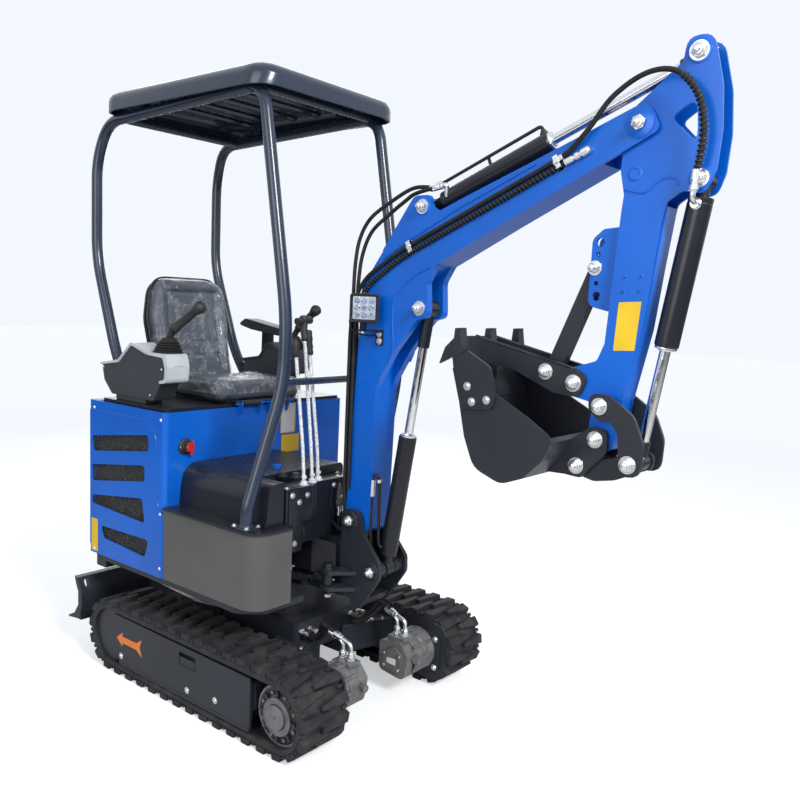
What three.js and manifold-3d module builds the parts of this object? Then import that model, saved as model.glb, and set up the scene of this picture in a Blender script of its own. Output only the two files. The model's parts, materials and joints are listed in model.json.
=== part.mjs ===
// Mini excavator, millimetres, +Z up, +X towards the boom, +Y to the operator's left.
// The ground is at z = 0. Drawing numbers below are measured from the middle of the tracks;
// the whole machine is moved along X at the end, so that its origin is the middle of its box.
import * as THREE from 'three';
import { mergeVertices } from 'three/addons/utils/BufferGeometryUtils.js';
import Module from 'manifold-3d';

const wasm = await Module();
wasm.setup();

// ---------------------------------------------------------------- driving dimensions

const MIDDLE_X = 342;            // middle of the machine's box, from the middle of the tracks

const GAP = 0.3;                 // between pieces that touch
const PIN_CLEARANCE = 0.3;       // round a pin, on the radius
const SIDE_PLAY = 0.7;           // beside a pivot, on each side
const WORKING_CLEARANCE = 5;     // between faces that move past each other

// Undercarriage
const TRACK_LENGTH = 1222;
const TRACK_HEIGHT = 281;
const TRACK_OVERALL_WIDTH = 980;
const BELT_WIDTH = 204;
const BELT_CARCASS = 22;
const LUG_HEIGHT = 18;
const LUG_COUNT = 37;
const MOTOR_RADIUS = 62;
const FRAME_PLATE = 10;
const SLEW_RING_RADIUS = 190;
const CARRIER_HEIGHT = 330;      // top of the carrier's centre
const PLATFORM_BOTTOM = 374;
const PLATFORM_TOP = 430;

// Blade
const BLADE_HINGE = { x: -332, z: 196 };
const BLADE_HALF_WIDTH = 488;
const BLADE_BACK = -686;         // foot of the mouldboard's back
const BLADE_LOW = 138;
const BLADE_HIGH = 316;
const BLADE_ARM_OFFSET = 150;
const LASHING_SLOT = { y: 455, z: 284 };
const BLADE_ARM_WIDTH = 44;
const BLADE_BARREL_PIN = { x: -266, z: 306 };
const BLADE_ROD_PIN = { x: -560, z: 236 };

// Body on the platform
const BODY_HALF_WIDTH = 460;
const ENGINE_REAR = -648;
const ENGINE_FRONT = -165;
const ENGINE_TOP = 1040;
const SHEET = 5;                 // wall of sheet-metal panels
const HOOD_THICKNESS = 12;
const SIDE_PANEL_FRONT = 330;    // right-hand side, over the tank
const STEP_PANEL_FRONT = 150;    // left-hand side, where the operator steps in
const SIDE_PANEL_RADIUS = 90;
const SIDE_PANEL_INNER = 296;    // where the side panel's front face ends, from the middle
const FLOOR_TOP = 698;
const FLOOR_PLATE = 9;
const TANK_COVER_TOP = 852;
const CONSOLE_REAR = 200;
const CONSOLE_FRONT = 274;
const CONSOLE_NOSE = 305;        // its right-hand half reaches further
const CONSOLE_TOP = 820;
const CONSOLE_RIGHT = -300;

// Canopy
const POST_RADIUS = 22;
const ROOF_REAR = -767;
const ROOF_FRONT = 187;
const ROOF_HALF_WIDTH = 352;
const ROOF_TOP = 2235;
const ROOF_DROOP = 76;
const ROOF_SHEET = 7;
const RAIL_OFFSET = 292;
const RAIL_SLOPE_START = -800;
const RAIL_SLOPE_END = 130;

// Seat deck
const DECK_THICKNESS = 12;
const DECK_REAR = -588;
const DECK_HINGE = { x: -150, z: 1053 };
const HINGE_ROD = 5;
const SEAT_HALF_WIDTH = 236;
const SEAT_BACK_HALF_WIDTH = 210;
const SEAT_BACK_TOP = 1540;

// Boom, arm and bucket: pins in the plane of the boom
const SWING_AXIS_X = 320;
const BOOM_FOOT = { x: 394, z: 694 };
const BOOM_KNEE = { x: 415, z: 1510 };
const ARM_PIVOT = { x: 1355, z: 1964 };
const BOOM_BARREL_PIN = { x: 501, z: 531 };
const BOOM_ROD_PIN = { x: 643, z: 1449 };
const ARM_BARREL_PIN = { x: 632, z: 1776 };
const ARM_ROD_PIN = { x: 1494, z: 2132 };
const BUCKET_BARREL_PIN = { x: 1521, z: 1814 };
const ROCKER_PIN = { x: 1306, z: 1201 };
const BUCKET_PIN = { x: 1292, z: 1104 };
const LINK_PIN = { x: 1239, z: 1022 };
const LINK_ROD_PIN = { x: 1400, z: 1050 };
const THUMB_PIN = { x: 1210, z: 1256 };
const STAY_TOP = { x: 1240, z: 1584 };

// Widths across the boom, each as half the width
const BOOM_HALF = 58;
const FORK_INNER = 47;
const BRACKET_INNER = 65;
const BRACKET_OUTER = 80;
const ARM_HALF = 42;
const ARM_SLOT = 34;
const LINK_INNER = 30;
const LINK_OUTER = 45;
const EAR_INNER = 50;
const EAR_OUTER = 62;
const ROCKER_INNER = 67;
const ROCKER_OUTER = 79;
const THUMB_INNER = ARM_HALF + GAP;
const THUMB_OUTER = THUMB_INNER + 12;
const STAY_HALF = 16;
const STAY_BOLT = 10;
const STAY_FOOT = { x: 1118, z: 1282 };
const STAY_HOLES = [[1251, 1655, 13], [1248, 1621, 7], [1246, 1541, 7], [1249, 1505, 13]];   // x, z, radius
const EYE_HALF = 21;             // cylinder eyes
const PIN_RADIUS = 15;
const ROD_RADIUS = 15;

// Bucket
const BUCKET_HALF = 190;
const BUCKET_PLATE = 8;
const TOOTH_WIDTH = 30;
const TOOTH_OFFSET = 165;

// ---------------------------------------------------------------- geometry helpers

function toSolid(geometry) {
  const plain = new THREE.BufferGeometry();
  plain.setAttribute('position', geometry.getAttribute('position').clone());
  if (geometry.index) plain.setIndex(geometry.index.clone());
  const merged = mergeVertices(plain, 1e-4);
  return new wasm.Manifold(new wasm.Mesh({
    numProp: 3,
    vertProperties: new Float32Array(merged.getAttribute('position').array),
    triVerts: new Uint32Array(merged.index.array),
  }));
}

function toGeometry(solid) {
  const mesh = solid.asOriginal().simplify(0.02).getMesh();
  const geometry = new THREE.BufferGeometry();
  geometry.setAttribute('position', new THREE.BufferAttribute(mesh.vertProperties.slice(), 3));
  geometry.setIndex(new THREE.BufferAttribute(mesh.triVerts.slice(), 1));
  geometry.computeVertexNormals();
  return geometry;
}

const join = (...solids) => solids.flat().reduce((sum, next) => sum.add(next));
const cut = (body, ...tools) => tools.flat().reduce((rest, tool) => rest.subtract(tool), body);

// A closed outline from corners [a, b] or [a, b, radius].
function outline(corners) {
  const shape = new THREE.Shape();
  const count = corners.length;
  corners.forEach((corner, i) => {
    const here = new THREE.Vector2(corner[0], corner[1]);
    const before = corners[(i + count - 1) % count];
    const after = corners[(i + 1) % count];
    const toBefore = new THREE.Vector2(before[0], before[1]).sub(here);
    const toAfter = new THREE.Vector2(after[0], after[1]).sub(here);
    const radius = corner[2] ?? 0;
    const move = i === 0 ? 'moveTo' : 'lineTo';
    if (radius === 0) {
      shape[move](here.x, here.y);
      return;
    }
    const half = Math.acos(THREE.MathUtils.clamp(
      toBefore.clone().normalize().dot(toAfter.clone().normalize()), -1, 1)) / 2;
    const room = 0.499 * Math.min(toBefore.length(), toAfter.length());
    const reach = Math.min(radius / Math.tan(half), room);
    const start = here.clone().add(toBefore.normalize().multiplyScalar(reach));
    const end = here.clone().add(toAfter.normalize().multiplyScalar(reach));
    shape[move](start.x, start.y);
    shape.quadraticCurveTo(here.x, here.y, end.x, end.y);
  });
  return shape;
}

const CURVE_SEGMENTS = 4;

function extrude(corners, depth, segments = CURVE_SEGMENTS) {
  const shape = corners instanceof THREE.Shape ? corners : outline(corners);
  return new THREE.ExtrudeGeometry(shape, { depth, bevelEnabled: false, curveSegments: segments });
}

// Outline in the plane of the boom (x, z), from y = low to y = high.
function slabAcross(corners, low, high, segments) {
  return toSolid(extrude(corners, high - low, segments).rotateX(Math.PI / 2).translate(0, high, 0));
}

// Outline in plan (x, y), from z = low to z = high.
function slabUp(corners, low, high, segments) {
  return toSolid(extrude(corners, high - low, segments).translate(0, 0, low));
}

// Outline seen from the front (y, z), from x = low to x = high.
function slabAlong(corners, low, high, segments) {
  const turn = new THREE.Matrix4().makeBasis(
    new THREE.Vector3(0, 1, 0), new THREE.Vector3(0, 0, 1), new THREE.Vector3(1, 0, 0));
  return toSolid(extrude(corners, high - low, segments).applyMatrix4(turn).translate(low, 0, 0));
}

function block(x0, x1, y0, y1, z0, z1) {
  return toSolid(new THREE.BoxGeometry(x1 - x0, y1 - y0, z1 - z0)
    .translate((x0 + x1) / 2, (y0 + y1) / 2, (z0 + z1) / 2));
}

// Small pins need fewer sides than wheels and hubs.
const sidesFor = (radius) => (radius <= 20 ? 10 : radius <= 40 ? 12 : 20);

// Radius of a faceted bore whose flats clear a round pin.
const boreFor = (radius, clearance = PIN_CLEARANCE) => (radius + clearance) / Math.cos(Math.PI / 10);

// Round bar along Y, centred on a pin.
function discAcross(at, radius, low, high, sides = sidesFor(radius)) {
  return toSolid(new THREE.CylinderGeometry(radius, radius, high - low, sides)
    .translate(at.x, (low + high) / 2, at.z));
}

function discUp(x, y, radius, low, high, sides = sidesFor(radius)) {
  return toSolid(new THREE.CylinderGeometry(radius, radius, high - low, sides)
    .rotateX(Math.PI / 2).translate(x, y, (low + high) / 2));
}

function barAlong(radius, low, high, sides = 12) {
  return toSolid(new THREE.CylinderGeometry(radius, radius, high - low, sides)
    .rotateZ(-Math.PI / 2).translate((low + high) / 2, 0, 0));
}

// The same piece on both sides of the middle: from inner to outer on +Y and on -Y.
const bothSides = (make, inner, outer) => [make(inner, outer), make(-outer, -inner)];
const platePair = (corners, inner, outer) => bothSides((a, b) => slabAcross(corners, a, b), inner, outer);
const discPair = (at, radius, inner, outer, sides) =>
  bothSides((a, b) => discAcross(at, radius, a, b, sides), inner, outer);

// A path that steps from corner to corner of a polyline, one step to each straight run.
class Polyline extends THREE.Curve {
  constructor(points) {
    super();
    this.points = points;
  }

  getPointAt(share) {
    return this.points[Math.round(share * (this.points.length - 1))].clone();
  }

  getTangentAt(share) {
    const at = Math.round(share * (this.points.length - 1));
    const before = this.points[Math.max(at - 1, 0)];
    const after = this.points[Math.min(at + 1, this.points.length - 1)];
    const here = this.points[at];
    const inward = here.clone().sub(before).normalize();
    const outward = after.clone().sub(here).normalize();
    return inward.add(outward).normalize();
  }
}

// A round bar through points, with its corners rounded to `bend`.
function bentTube(points, radius, bend, steps = 2, sides = 5) {
  const corners = [points[0]];
  for (let i = 1; i < points.length - 1; i += 1) {
    const before = points[i].distanceTo(points[i - 1]);
    const after = points[i].distanceTo(points[i + 1]);
    const reach = Math.min(bend, 0.45 * before, 0.45 * after);
    const start = points[i].clone().lerp(points[i - 1], reach / before);
    const end = points[i].clone().lerp(points[i + 1], reach / after);
    corners.push(...new THREE.QuadraticBezierCurve3(start, points[i], end).getPoints(steps));
  }
  corners.push(points.at(-1));
  const section = new THREE.Shape();
  section.absarc(0, 0, radius, 0, 2 * Math.PI);
  return toSolid(new THREE.ExtrudeGeometry(section,
    { extrudePath: new Polyline(corners), steps: corners.length - 1, curveSegments: sides }));
}

const point = (x, y, z) => new THREE.Vector3(x, y, z);
const minus = (a, b) => ({ x: a.x - b.x, z: a.z - b.z });

// Point on the line from a to b at share t, moved `off` to the line's left.
function station(a, b, t, off) {
  const length = Math.hypot(b.x - a.x, b.z - a.z);
  const along = { x: (b.x - a.x) / length, z: (b.z - a.z) / length };
  return [a.x + t * (b.x - a.x) - off * along.z, a.z + t * (b.z - a.z) + off * along.x];
}

// Corners of a plate that runs round two pins.
function linkPlate(a, b, radiusA, radiusB) {
  const length = Math.hypot(b.x - a.x, b.z - a.z);
  return [
    [...station(a, b, -radiusA / length, radiusA), radiusA],
    [...station(a, b, 1 + radiusB / length, radiusB), radiusB],
    [...station(a, b, 1 + radiusB / length, -radiusB), radiusB],
    [...station(a, b, -radiusA / length, -radiusA), radiusA],
  ];
}

// ---------------------------------------------------------------- materials

const paint = (color, roughness = 0.35, metalness = 0) =>
  new THREE.MeshStandardMaterial({ color, roughness, metalness });

const BLUE = paint(0x0b4fb8);
const CHARCOAL = paint(0x23262b, 0.5);
const BLACK = paint(0x121418, 0.45);
const PANEL_GREY = paint(0x4b4b4b, 0.4);
const CANOPY_BLUE = paint(0x1f2d42, 0.25);
const CHROME = paint(0xd8dade, 0.12, 1);
const RUBBER = paint(0x26262a, 0.9);
const STEEL = paint(0x8c8d90, 0.4, 0.9);
const VINYL = paint(0x17181b, 0.6);
const PLASTIC = paint(0x2c3037, 0.55);
const LAMP = paint(0xa9b6c4, 0.2);

const machine = new THREE.Group();

function addMesh(parent, name, solid, material) {
  const mesh = new THREE.Mesh(toGeometry(solid), material);
  mesh.name = name;
  parent.add(mesh);
  return mesh;
}

function groupAt(parent, x, y, z) {
  const group = new THREE.Group();
  group.position.set(x, y, z);
  parent.add(group);
  return group;
}

// ---------------------------------------------------------------- hydraulic cylinders

// Barrel and rod along +X from the barrel's pin, turned so that the rod's eye meets its pin.
function cylinder(parent, name, from, to, size) {
  const axis = to.clone().sub(from);
  const length = axis.length();
  const group = groupAt(parent, from.x, from.y, from.z);
  group.quaternion.setFromRotationMatrix(new THREE.Matrix4().makeBasis(
    axis.clone().normalize(), size.hinge, axis.clone().normalize().cross(size.hinge)));
  const eyeAt = (x, radius, half) => discAcross({ x, z: 0 }, radius, -half, half);
  const neck = EYE_HALF - 1;
  const bore = barAlong(ROD_RADIUS + PIN_CLEARANCE, size.neck + 14, size.barrelLength + 1);
  const barrel = cut(
    join(eyeAt(0, size.eyeRadius, size.eyeHalf),
      barAlong(neck, 0.7 * size.eyeRadius, size.neck + 4),
      barAlong(size.radius, size.neck, size.barrelLength),
      barAlong(size.radius + 3, size.barrelLength - 34, size.barrelLength)),
    eyeAt(0, boreFor(size.pinRadius), size.eyeHalf + 1),
    bore);
  addMesh(group, `${name}_barrel`, barrel, BLACK);
  const rodStart = length - size.rodLength;
  const rod = cut(
    join(barAlong(ROD_RADIUS, rodStart, length - 8), eyeAt(length, size.eyeRadius, size.eyeHalf),
      barAlong(neck, length - 62, length - 0.7 * size.eyeRadius)),
    eyeAt(length, boreFor(size.pinRadius), size.eyeHalf + 1));
  addMesh(group, `${name}_rod`, rod, CHROME);
}

const ACROSS = point(0, 1, 0);
const inPlane = (pin) => point(pin.x, 0, pin.z);

// ---------------------------------------------------------------- tracks

const TRACK_RADIUS = TRACK_HEIGHT / 2;
const AXLE_X = TRACK_LENGTH / 2 - TRACK_RADIUS;
const BELT_OUTER = TRACK_RADIUS - LUG_HEIGHT;
const BELT_INNER = BELT_OUTER - BELT_CARCASS;
const BELT_EDGE = TRACK_OVERALL_WIDTH / 2;
const BELT_INNER_EDGE = BELT_EDGE - BELT_WIDTH;

// Point on the belt's loop at share s of its length, at a distance from the wheel's centre.
function loopPoint(s, radius) {
  const straight = 2 * AXLE_X;
  const arc = Math.PI * TRACK_RADIUS;
  let run = ((s % 1) + 1) % 1 * 2 * (straight + arc);
  if (run < straight) return [AXLE_X - run, radius];
  run -= straight;
  if (run < arc) {
    const angle = Math.PI / 2 + run / TRACK_RADIUS;
    return [-AXLE_X + radius * Math.cos(angle), radius * Math.sin(angle)];
  }
  run -= arc;
  if (run < straight) return [-AXLE_X + run, -radius];
  const angle = -Math.PI / 2 + (run - straight) / TRACK_RADIUS;
  return [AXLE_X + radius * Math.cos(angle), radius * Math.sin(angle)];
}

function stadium(radius, sides = 20) {
  const corners = [];
  for (let i = 0; i <= sides; i += 1) {
    const angle = Math.PI / 2 + Math.PI * i / sides;
    corners.push([-AXLE_X + radius * Math.cos(angle), radius * Math.sin(angle)]);
  }
  for (let i = 0; i <= sides; i += 1) {
    const angle = -Math.PI / 2 + Math.PI * i / sides;
    corners.push([AXLE_X + radius * Math.cos(angle), radius * Math.sin(angle)]);
  }
  return corners;
}

function beltLoop(low, high) {
  const corners = [];
  const lug = 0.56;
  for (let i = 0; i < LUG_COUNT; i += 1) {
    const at = (share) => (i + share) / LUG_COUNT;
    corners.push(loopPoint(at(0), BELT_OUTER), loopPoint(at(0.08), TRACK_RADIUS),
      loopPoint(at(lug - 0.08), TRACK_RADIUS), loopPoint(at(lug), BELT_OUTER));
  }
  return cut(slabAcross(corners, low, high), slabAcross(stadium(BELT_INNER + 0.4), low - 1, high + 1));
}

for (const [side, suffix] of [[-1, 'R'], [1, 'L']]) {
  const track = groupAt(machine, 0, side * (BELT_INNER_EDGE + BELT_WIDTH / 2), TRACK_RADIUS);
  const half = BELT_WIDTH / 2;
  const outward = (near, far) => (side > 0 ? [near, far] : [-far, -near]);

  addMesh(track, `track_belt_${suffix}`, beltLoop(-half, half), RUBBER);

  const outerFace = half - 6;
  const innerFace = -half - FRAME_PLATE;
  const across = (at, radius, near, far, sides) => discAcross(at, radius, ...outward(near, far), sides);
  const plate = (corners, near, far) => slabAcross(corners, ...outward(near, far));
  const wheelRadius = BELT_INNER - GAP;
  const idler = { x: -AXLE_X, z: 0 };
  const sprocket = { x: AXLE_X, z: 0 };
  const rollerRadius = 36;
  const rollerDrop = wheelRadius - rollerRadius;
  const rollers = [-0.6, -0.2, 0.2, 0.6].map((share) =>
    across({ x: share * AXLE_X, z: -rollerDrop }, rollerRadius, 6 - half, half - 16, 20));
  const beamTop = 0.72 * BELT_INNER;
  const beam = plate([[-0.78 * AXLE_X, beamTop, 20], [-0.78 * AXLE_X, -30, 20],
    [0.76 * AXLE_X, -30, 20], [0.76 * AXLE_X, beamTop, 20]], 16 - half, half - 22);
  const sidePlate = cut(
    plate([[-0.93 * AXLE_X, 92], [-0.86 * AXLE_X, -96], [0.74 * AXLE_X, -92, 12], [0.74 * AXLE_X, 88, 12]],
      outerFace - FRAME_PLATE, outerFace),
    plate([[-30, 66, 6], [-30, 20, 6], [60, 20, 6], [60, 66, 6]], outerFace - 2 * FRAME_PLATE,
      outerFace + 1));
  const yoke = plate([[-1.0 * AXLE_X, 20, 10], [-1.0 * AXLE_X, -20, 10],
    [-0.7 * AXLE_X, -20], [-0.7 * AXLE_X, 20]], -0.5 * half, 0.5 * half);
  const spacer = plate([[-0.7 * AXLE_X, 50], [-0.7 * AXLE_X, -20], [0.7 * AXLE_X, -20], [0.7 * AXLE_X, 50]],
    -half - 1, outerFace - 1);
  const rootPlate = cut(
    plate([[-0.72 * AXLE_X, 84, 30], [-0.72 * AXLE_X, -60, 30], [0.7 * AXLE_X, -70],
      [AXLE_X, -112, 60], [AXLE_X + 112, -112, 110], [AXLE_X + 112, 112, 110], [AXLE_X, 112, 60],
      [0.7 * AXLE_X, 90]], innerFace, -half - GAP),
    across(sprocket, MOTOR_RADIUS + GAP, innerFace - 1, 1 - half, 24));
  const trackFrame = join(beam, spacer, sidePlate, rootPlate, yoke,
    across(idler, wheelRadius, 14 - half, half - 14, 28), rollers);
  addMesh(track, `track_frame_${suffix}`, trackFrame, CHARCOAL);

  const motorBack = -half - 176;
  const drive = join(
    across(sprocket, wheelRadius, 14 - half, half - 24, 28),
    across(sprocket, MOTOR_RADIUS, -half - 70, half - 10, 24),
    across(sprocket, 40, half - 30, half - 2, 20),
    across({ x: AXLE_X - 12, z: 4 }, 76, -half - 130, innerFace - GAP, 20),
    plate([[AXLE_X - 74, 62, 14], [AXLE_X - 74, -52, 26], [AXLE_X + 46, -66, 26], [AXLE_X + 62, 30, 14],
      [AXLE_X + 20, 76, 8]], motorBack, -half - 100));
  addMesh(track, `travel_motor_${suffix}`, drive, STEEL);
}

// ---------------------------------------------------------------- carrier between the tracks

const CARRIER_REACH = BELT_INNER_EDGE - FRAME_PLATE - GAP;   // to the track frames' root plates

function carrier() {
  const centre = slabUp([[-235, -170, 20], [235, -170, 20], [235, 170, 20], [-235, 170, 20]], 176, 292);
  const legs = [];
  for (const [sx, sy] of [[1, 1], [1, -1], [-1, 1], [-1, -1]]) {
    const corners = [[120 * sx, 60 * sy], [120 * sx, 150 * sy], [210 * sx, CARRIER_REACH * sy],
      [322 * sx, CARRIER_REACH * sy], [250 * sx, 60 * sy]];
    legs.push(slabUp(sx * sy > 0 ? corners.reverse() : corners, 118, 222));
  }
  const ring = discUp(0, 0, SLEW_RING_RADIUS - 12, 280, CARRIER_HEIGHT, 32);
  const hingePlate = [[-180, 178], [-180, 250], [BLADE_HINGE.x - 34, BLADE_HINGE.z + 34, 30],
    [BLADE_HINGE.x - 34, BLADE_HINGE.z - 34, 30], [-200, 150]];
  const ears = [];
  for (const middle of [-BLADE_ARM_OFFSET, BLADE_ARM_OFFSET]) {
    const inner = BLADE_ARM_WIDTH / 2 + SIDE_PLAY;
    ears.push(slabAcross(hingePlate, middle - inner - 14, middle - inner));
    ears.push(slabAcross(hingePlate, middle + inner, middle + inner + 14));
    ears.push(discAcross(BLADE_HINGE, PIN_RADIUS, middle - inner - 14, middle + inner + 14));
  }
  const lug = [[-160, 280], [-160, 322, 8], [BLADE_BARREL_PIN.x - 24, BLADE_BARREL_PIN.z + 22, 22],
    [BLADE_BARREL_PIN.x - 24, BLADE_BARREL_PIN.z - 26, 22], [-206, 240]];
  ears.push(...platePair(lug, EYE_HALF + 2, EYE_HALF + 14));
  ears.push(discAcross(BLADE_BARREL_PIN, PIN_RADIUS, -EYE_HALF - 14, EYE_HALF + 14));
  return join(centre, legs, ring, ears);
}

addMesh(machine, 'carrier', carrier(), CHARCOAL);

// ---------------------------------------------------------------- blade

const bladeGroup = groupAt(machine, BLADE_HINGE.x, 0, BLADE_HINGE.z);

function bladePart() {
  const low = BLADE_LOW - BLADE_HINGE.z;
  const high = BLADE_HIGH - BLADE_HINGE.z;
  const back = BLADE_BACK - BLADE_HINGE.x;
  const middle = (low + high) / 2;
  const mouldboard = slabAcross([
    [back, low + 6], [back + 20, middle - 20], [back + 16, middle + 36], [back - 14, high - 4],
      [back - 34, high],
    [back - 26, high - 26], [back - 8, middle + 30], [back - 8, middle - 24], [back - 36, low + 24],
    [back - 84, low], [back - 78, low - 4]], -BLADE_HALF_WIDTH, BLADE_HALF_WIDTH);
  const eye = { x: 0, z: 0 };
  const arms = [];
  for (const side of [-1, 1]) {
    const y = side * BLADE_ARM_OFFSET;
    const edges = [y - BLADE_ARM_WIDTH / 2, y + BLADE_ARM_WIDTH / 2];
    arms.push(slabAcross([[28, 28, 26], [28, -28, 26], [back + 8, -40], [back + 8, 56],
      [back + 70, 44, 20]], ...edges));
  }
  const rodPin = minus(BLADE_ROD_PIN, BLADE_HINGE);
  const bridge = slabAcross([[back + 8, -34], [rodPin.x + 28, -34, 10], [rodPin.x + 28, -12, 10],
    [back + 8, 10]], -BLADE_ARM_OFFSET, BLADE_ARM_OFFSET);
  const lug = [[back + 8, -20], [rodPin.x + 24, -20], [rodPin.x + 26, rodPin.z + 24, 22],
    [rodPin.x - 24, rodPin.z + 24, 22], [back + 8, 60]];
  const lugs = platePair(lug, EYE_HALF + 3, EYE_HALF + 15);
  const stubs = discPair(rodPin, PIN_RADIUS, EYE_HALF + 2, EYE_HALF + 22);
  const bores = [-BLADE_ARM_OFFSET, BLADE_ARM_OFFSET].map((y) => discAcross(eye,
    boreFor(PIN_RADIUS), y - BLADE_ARM_WIDTH, y + BLADE_ARM_WIDTH));
  const slots = [-1, 1].map((side) => {
    const corners = [[-9, -17, 9], [9, -17, 9], [9, 17, 9], [-9, 17, 9]];
    return slabAlong(corners.map(([y, z, r]) => [y + side * LASHING_SLOT.y,
      z + LASHING_SLOT.z - BLADE_HINGE.z, r]),
      back - 60, back + 60);
  });
  return cut(join(mouldboard, arms, bridge, lugs, stubs), bores, slots);
}

addMesh(bladeGroup, 'dozer_blade', bladePart(), CHARCOAL);
cylinder(machine, 'blade_cylinder', inPlane(BLADE_BARREL_PIN), inPlane(BLADE_ROD_PIN),
  { hinge: ACROSS, radius: 27, eyeRadius: 25, eyeHalf: EYE_HALF, pinRadius: PIN_RADIUS,
    neck: 44, barrelLength: 210, rodLength: 236 });

// ---------------------------------------------------------------- platform

const upper = groupAt(machine, 0, 0, 0);
const EAR_RADIUS = 52;
const HUB_RADIUS = 46;
const HUB_LOW = 434;
const HUB_HIGH = 584;
const SWING_BARREL_PIN = { x: -90, y: -215 };
const SWING_ROD_PIN = { x: 340, y: -125 };
const SWING_HEIGHT = 480;

function platform() {
  const half = BODY_HALF_WIDTH - 12;
  const plate = slabUp([[ENGINE_REAR + 6, -half, 30], [SIDE_PANEL_FRONT - 100, -half, 60],
    [SIDE_PANEL_FRONT - 30, -380, 20], [SIDE_PANEL_FRONT - 30, -200, 20], [190, -110, 20], [190, 110, 20],
    [STEP_PANEL_FRONT, 240, 20], [STEP_PANEL_FRONT - 20, half, 60], [ENGINE_REAR + 6, half, 30]],
  PLATFORM_TOP - 24, PLATFORM_TOP);
  const rails = bothSides((a, b) => block(ENGINE_REAR + 20, STEP_PANEL_FRONT - 30, a, b,
    PLATFORM_BOTTOM + 2, PLATFORM_TOP - 20), 228, 268);
  const ring = discUp(0, 0, SLEW_RING_RADIUS, CARRIER_HEIGHT + GAP, PLATFORM_TOP - 10, 32);
  const ear = (low, high) => slabUp([[120, -EAR_RADIUS],
    [SWING_AXIS_X + EAR_RADIUS, -EAR_RADIUS, EAR_RADIUS],
    [SWING_AXIS_X + EAR_RADIUS, EAR_RADIUS, EAR_RADIUS], [120, EAR_RADIUS]], low, high, 6);
  const lowerEar = ear(HUB_LOW - 36, HUB_LOW - SIDE_PLAY);
  const upperEar = ear(HUB_HIGH + SIDE_PLAY, HUB_HIGH + 28);
  const column = block(110, 204, -74, 74, PLATFORM_TOP - 12, HUB_HIGH + 28);
  const pin = discUp(SWING_AXIS_X, 0, 24, HUB_LOW - 36, HUB_HIGH + 36);
  const cylinderPost = discUp(SWING_BARREL_PIN.x, SWING_BARREL_PIN.y, 13, PLATFORM_TOP - 4,
    SWING_HEIGHT + 40);
  const weight = slabUp([[ENGINE_REAR + 6, -half, 30], [ENGINE_REAR + 90, -half], [ENGINE_REAR + 90, half],
    [ENGINE_REAR + 6, half, 30]], PLATFORM_BOTTOM + 4, PLATFORM_TOP);
  return join(plate, rails, ring, lowerEar, upperEar, column, pin, cylinderPost, weight);
}

addMesh(upper, 'slew_platform', platform(), CHARCOAL);

// Louvre slots in the engine box, each as corners in (x, z).
const LOUVRES = [
  [[-640, 898], [-262, 948], [-262, 888], [-630, 838]],
  [[-640, 784], [-285, 832], [-285, 772], [-640, 718]],
  [[-640, 662], [-300, 706], [-282, 615], [-640, 628]],
  [[-577, 549], [-256, 556], [-281, 487], [-557, 502]],
];

function engineBox() {
  const w = BODY_HALF_WIDTH;
  const low = PLATFORM_TOP + GAP;
  const shell = (inset, z0, z1) => slabUp([[ENGINE_REAR + inset, -w + inset],
    [ENGINE_FRONT - inset, -w + inset, 24],
    [ENGINE_FRONT - inset, w - inset, 24], [ENGINE_REAR + inset, w - inset]], z0, z1);
  const ledge = block(ENGINE_REAR + 2, DECK_REAR - 6, -w + 2, w - 2, ENGINE_TOP - SHEET, ENGINE_TOP);
  const rearOpening = block(ENGINE_REAR - 1, ENGINE_REAR + SHEET + 1, -w + 30, w - 30, 470, 1000);
  const louvres = LOUVRES.map((corners) => slabAcross(corners.map(([x, z]) => [x, z, 16]), -w - 1, w + 1));
  const body = cut(shell(0, low, ENGINE_TOP), shell(SHEET, low - 1, ENGINE_TOP + 1), rearOpening, louvres);
  const tabs = [-122, -26, 26, 122].map((y) => slabAcross([[ENGINE_FRONT - 2, 1008],
    [ENGINE_FRONT + 8, 1008, 4],
    [DECK_HINGE.x + 9, DECK_HINGE.z - 6, 6], [DECK_HINGE.x + 9, DECK_HINGE.z + 9, 8],
    [DECK_HINGE.x - 9, DECK_HINGE.z + 9, 8], [ENGINE_FRONT - 2, 1028]], y - 4, y + 4));
  const rods = [[-148, -2], [2, 148]].map(([a, b]) => discAcross(DECK_HINGE, HINGE_ROD, a, b));
  return join(body, ledge, tabs, rods);
}

addMesh(upper, 'engine_box', engineBox(), BLUE);

function hood() {
  const w = BODY_HALF_WIDTH;
  const panel = slabAlong([[-w + 4, 452, 14], [w - 4, 452, 14], [w - 4, 1008, 14], [-w + 4, 1008, 14]],
    ENGINE_REAR - HOOD_THICKNESS, ENGINE_REAR - GAP);
  const vents = [620, 700, 780].map((z) => slabAlong([[-240, z, 14], [240, z, 14], [240, z + 34, 14],
    [-240, z + 34, 14]],
    ENGINE_REAR - HOOD_THICKNESS - 1, ENGINE_REAR + 1));
  return cut(panel, vents);
}

addMesh(upper, 'engine_hood', hood(), BLUE);

function engine() {
  const block0 = block(-600, -236, -330, 330, 474, 800);
  const feet = [[-560, -250], [-560, 250], [-290, -250], [-290, 250]].map(([x, y]) =>
    discUp(x, y, 28, PLATFORM_TOP + GAP, 480, 12));
  return join(block0, feet);
}

addMesh(upper, 'engine', engine(), STEEL);

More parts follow.
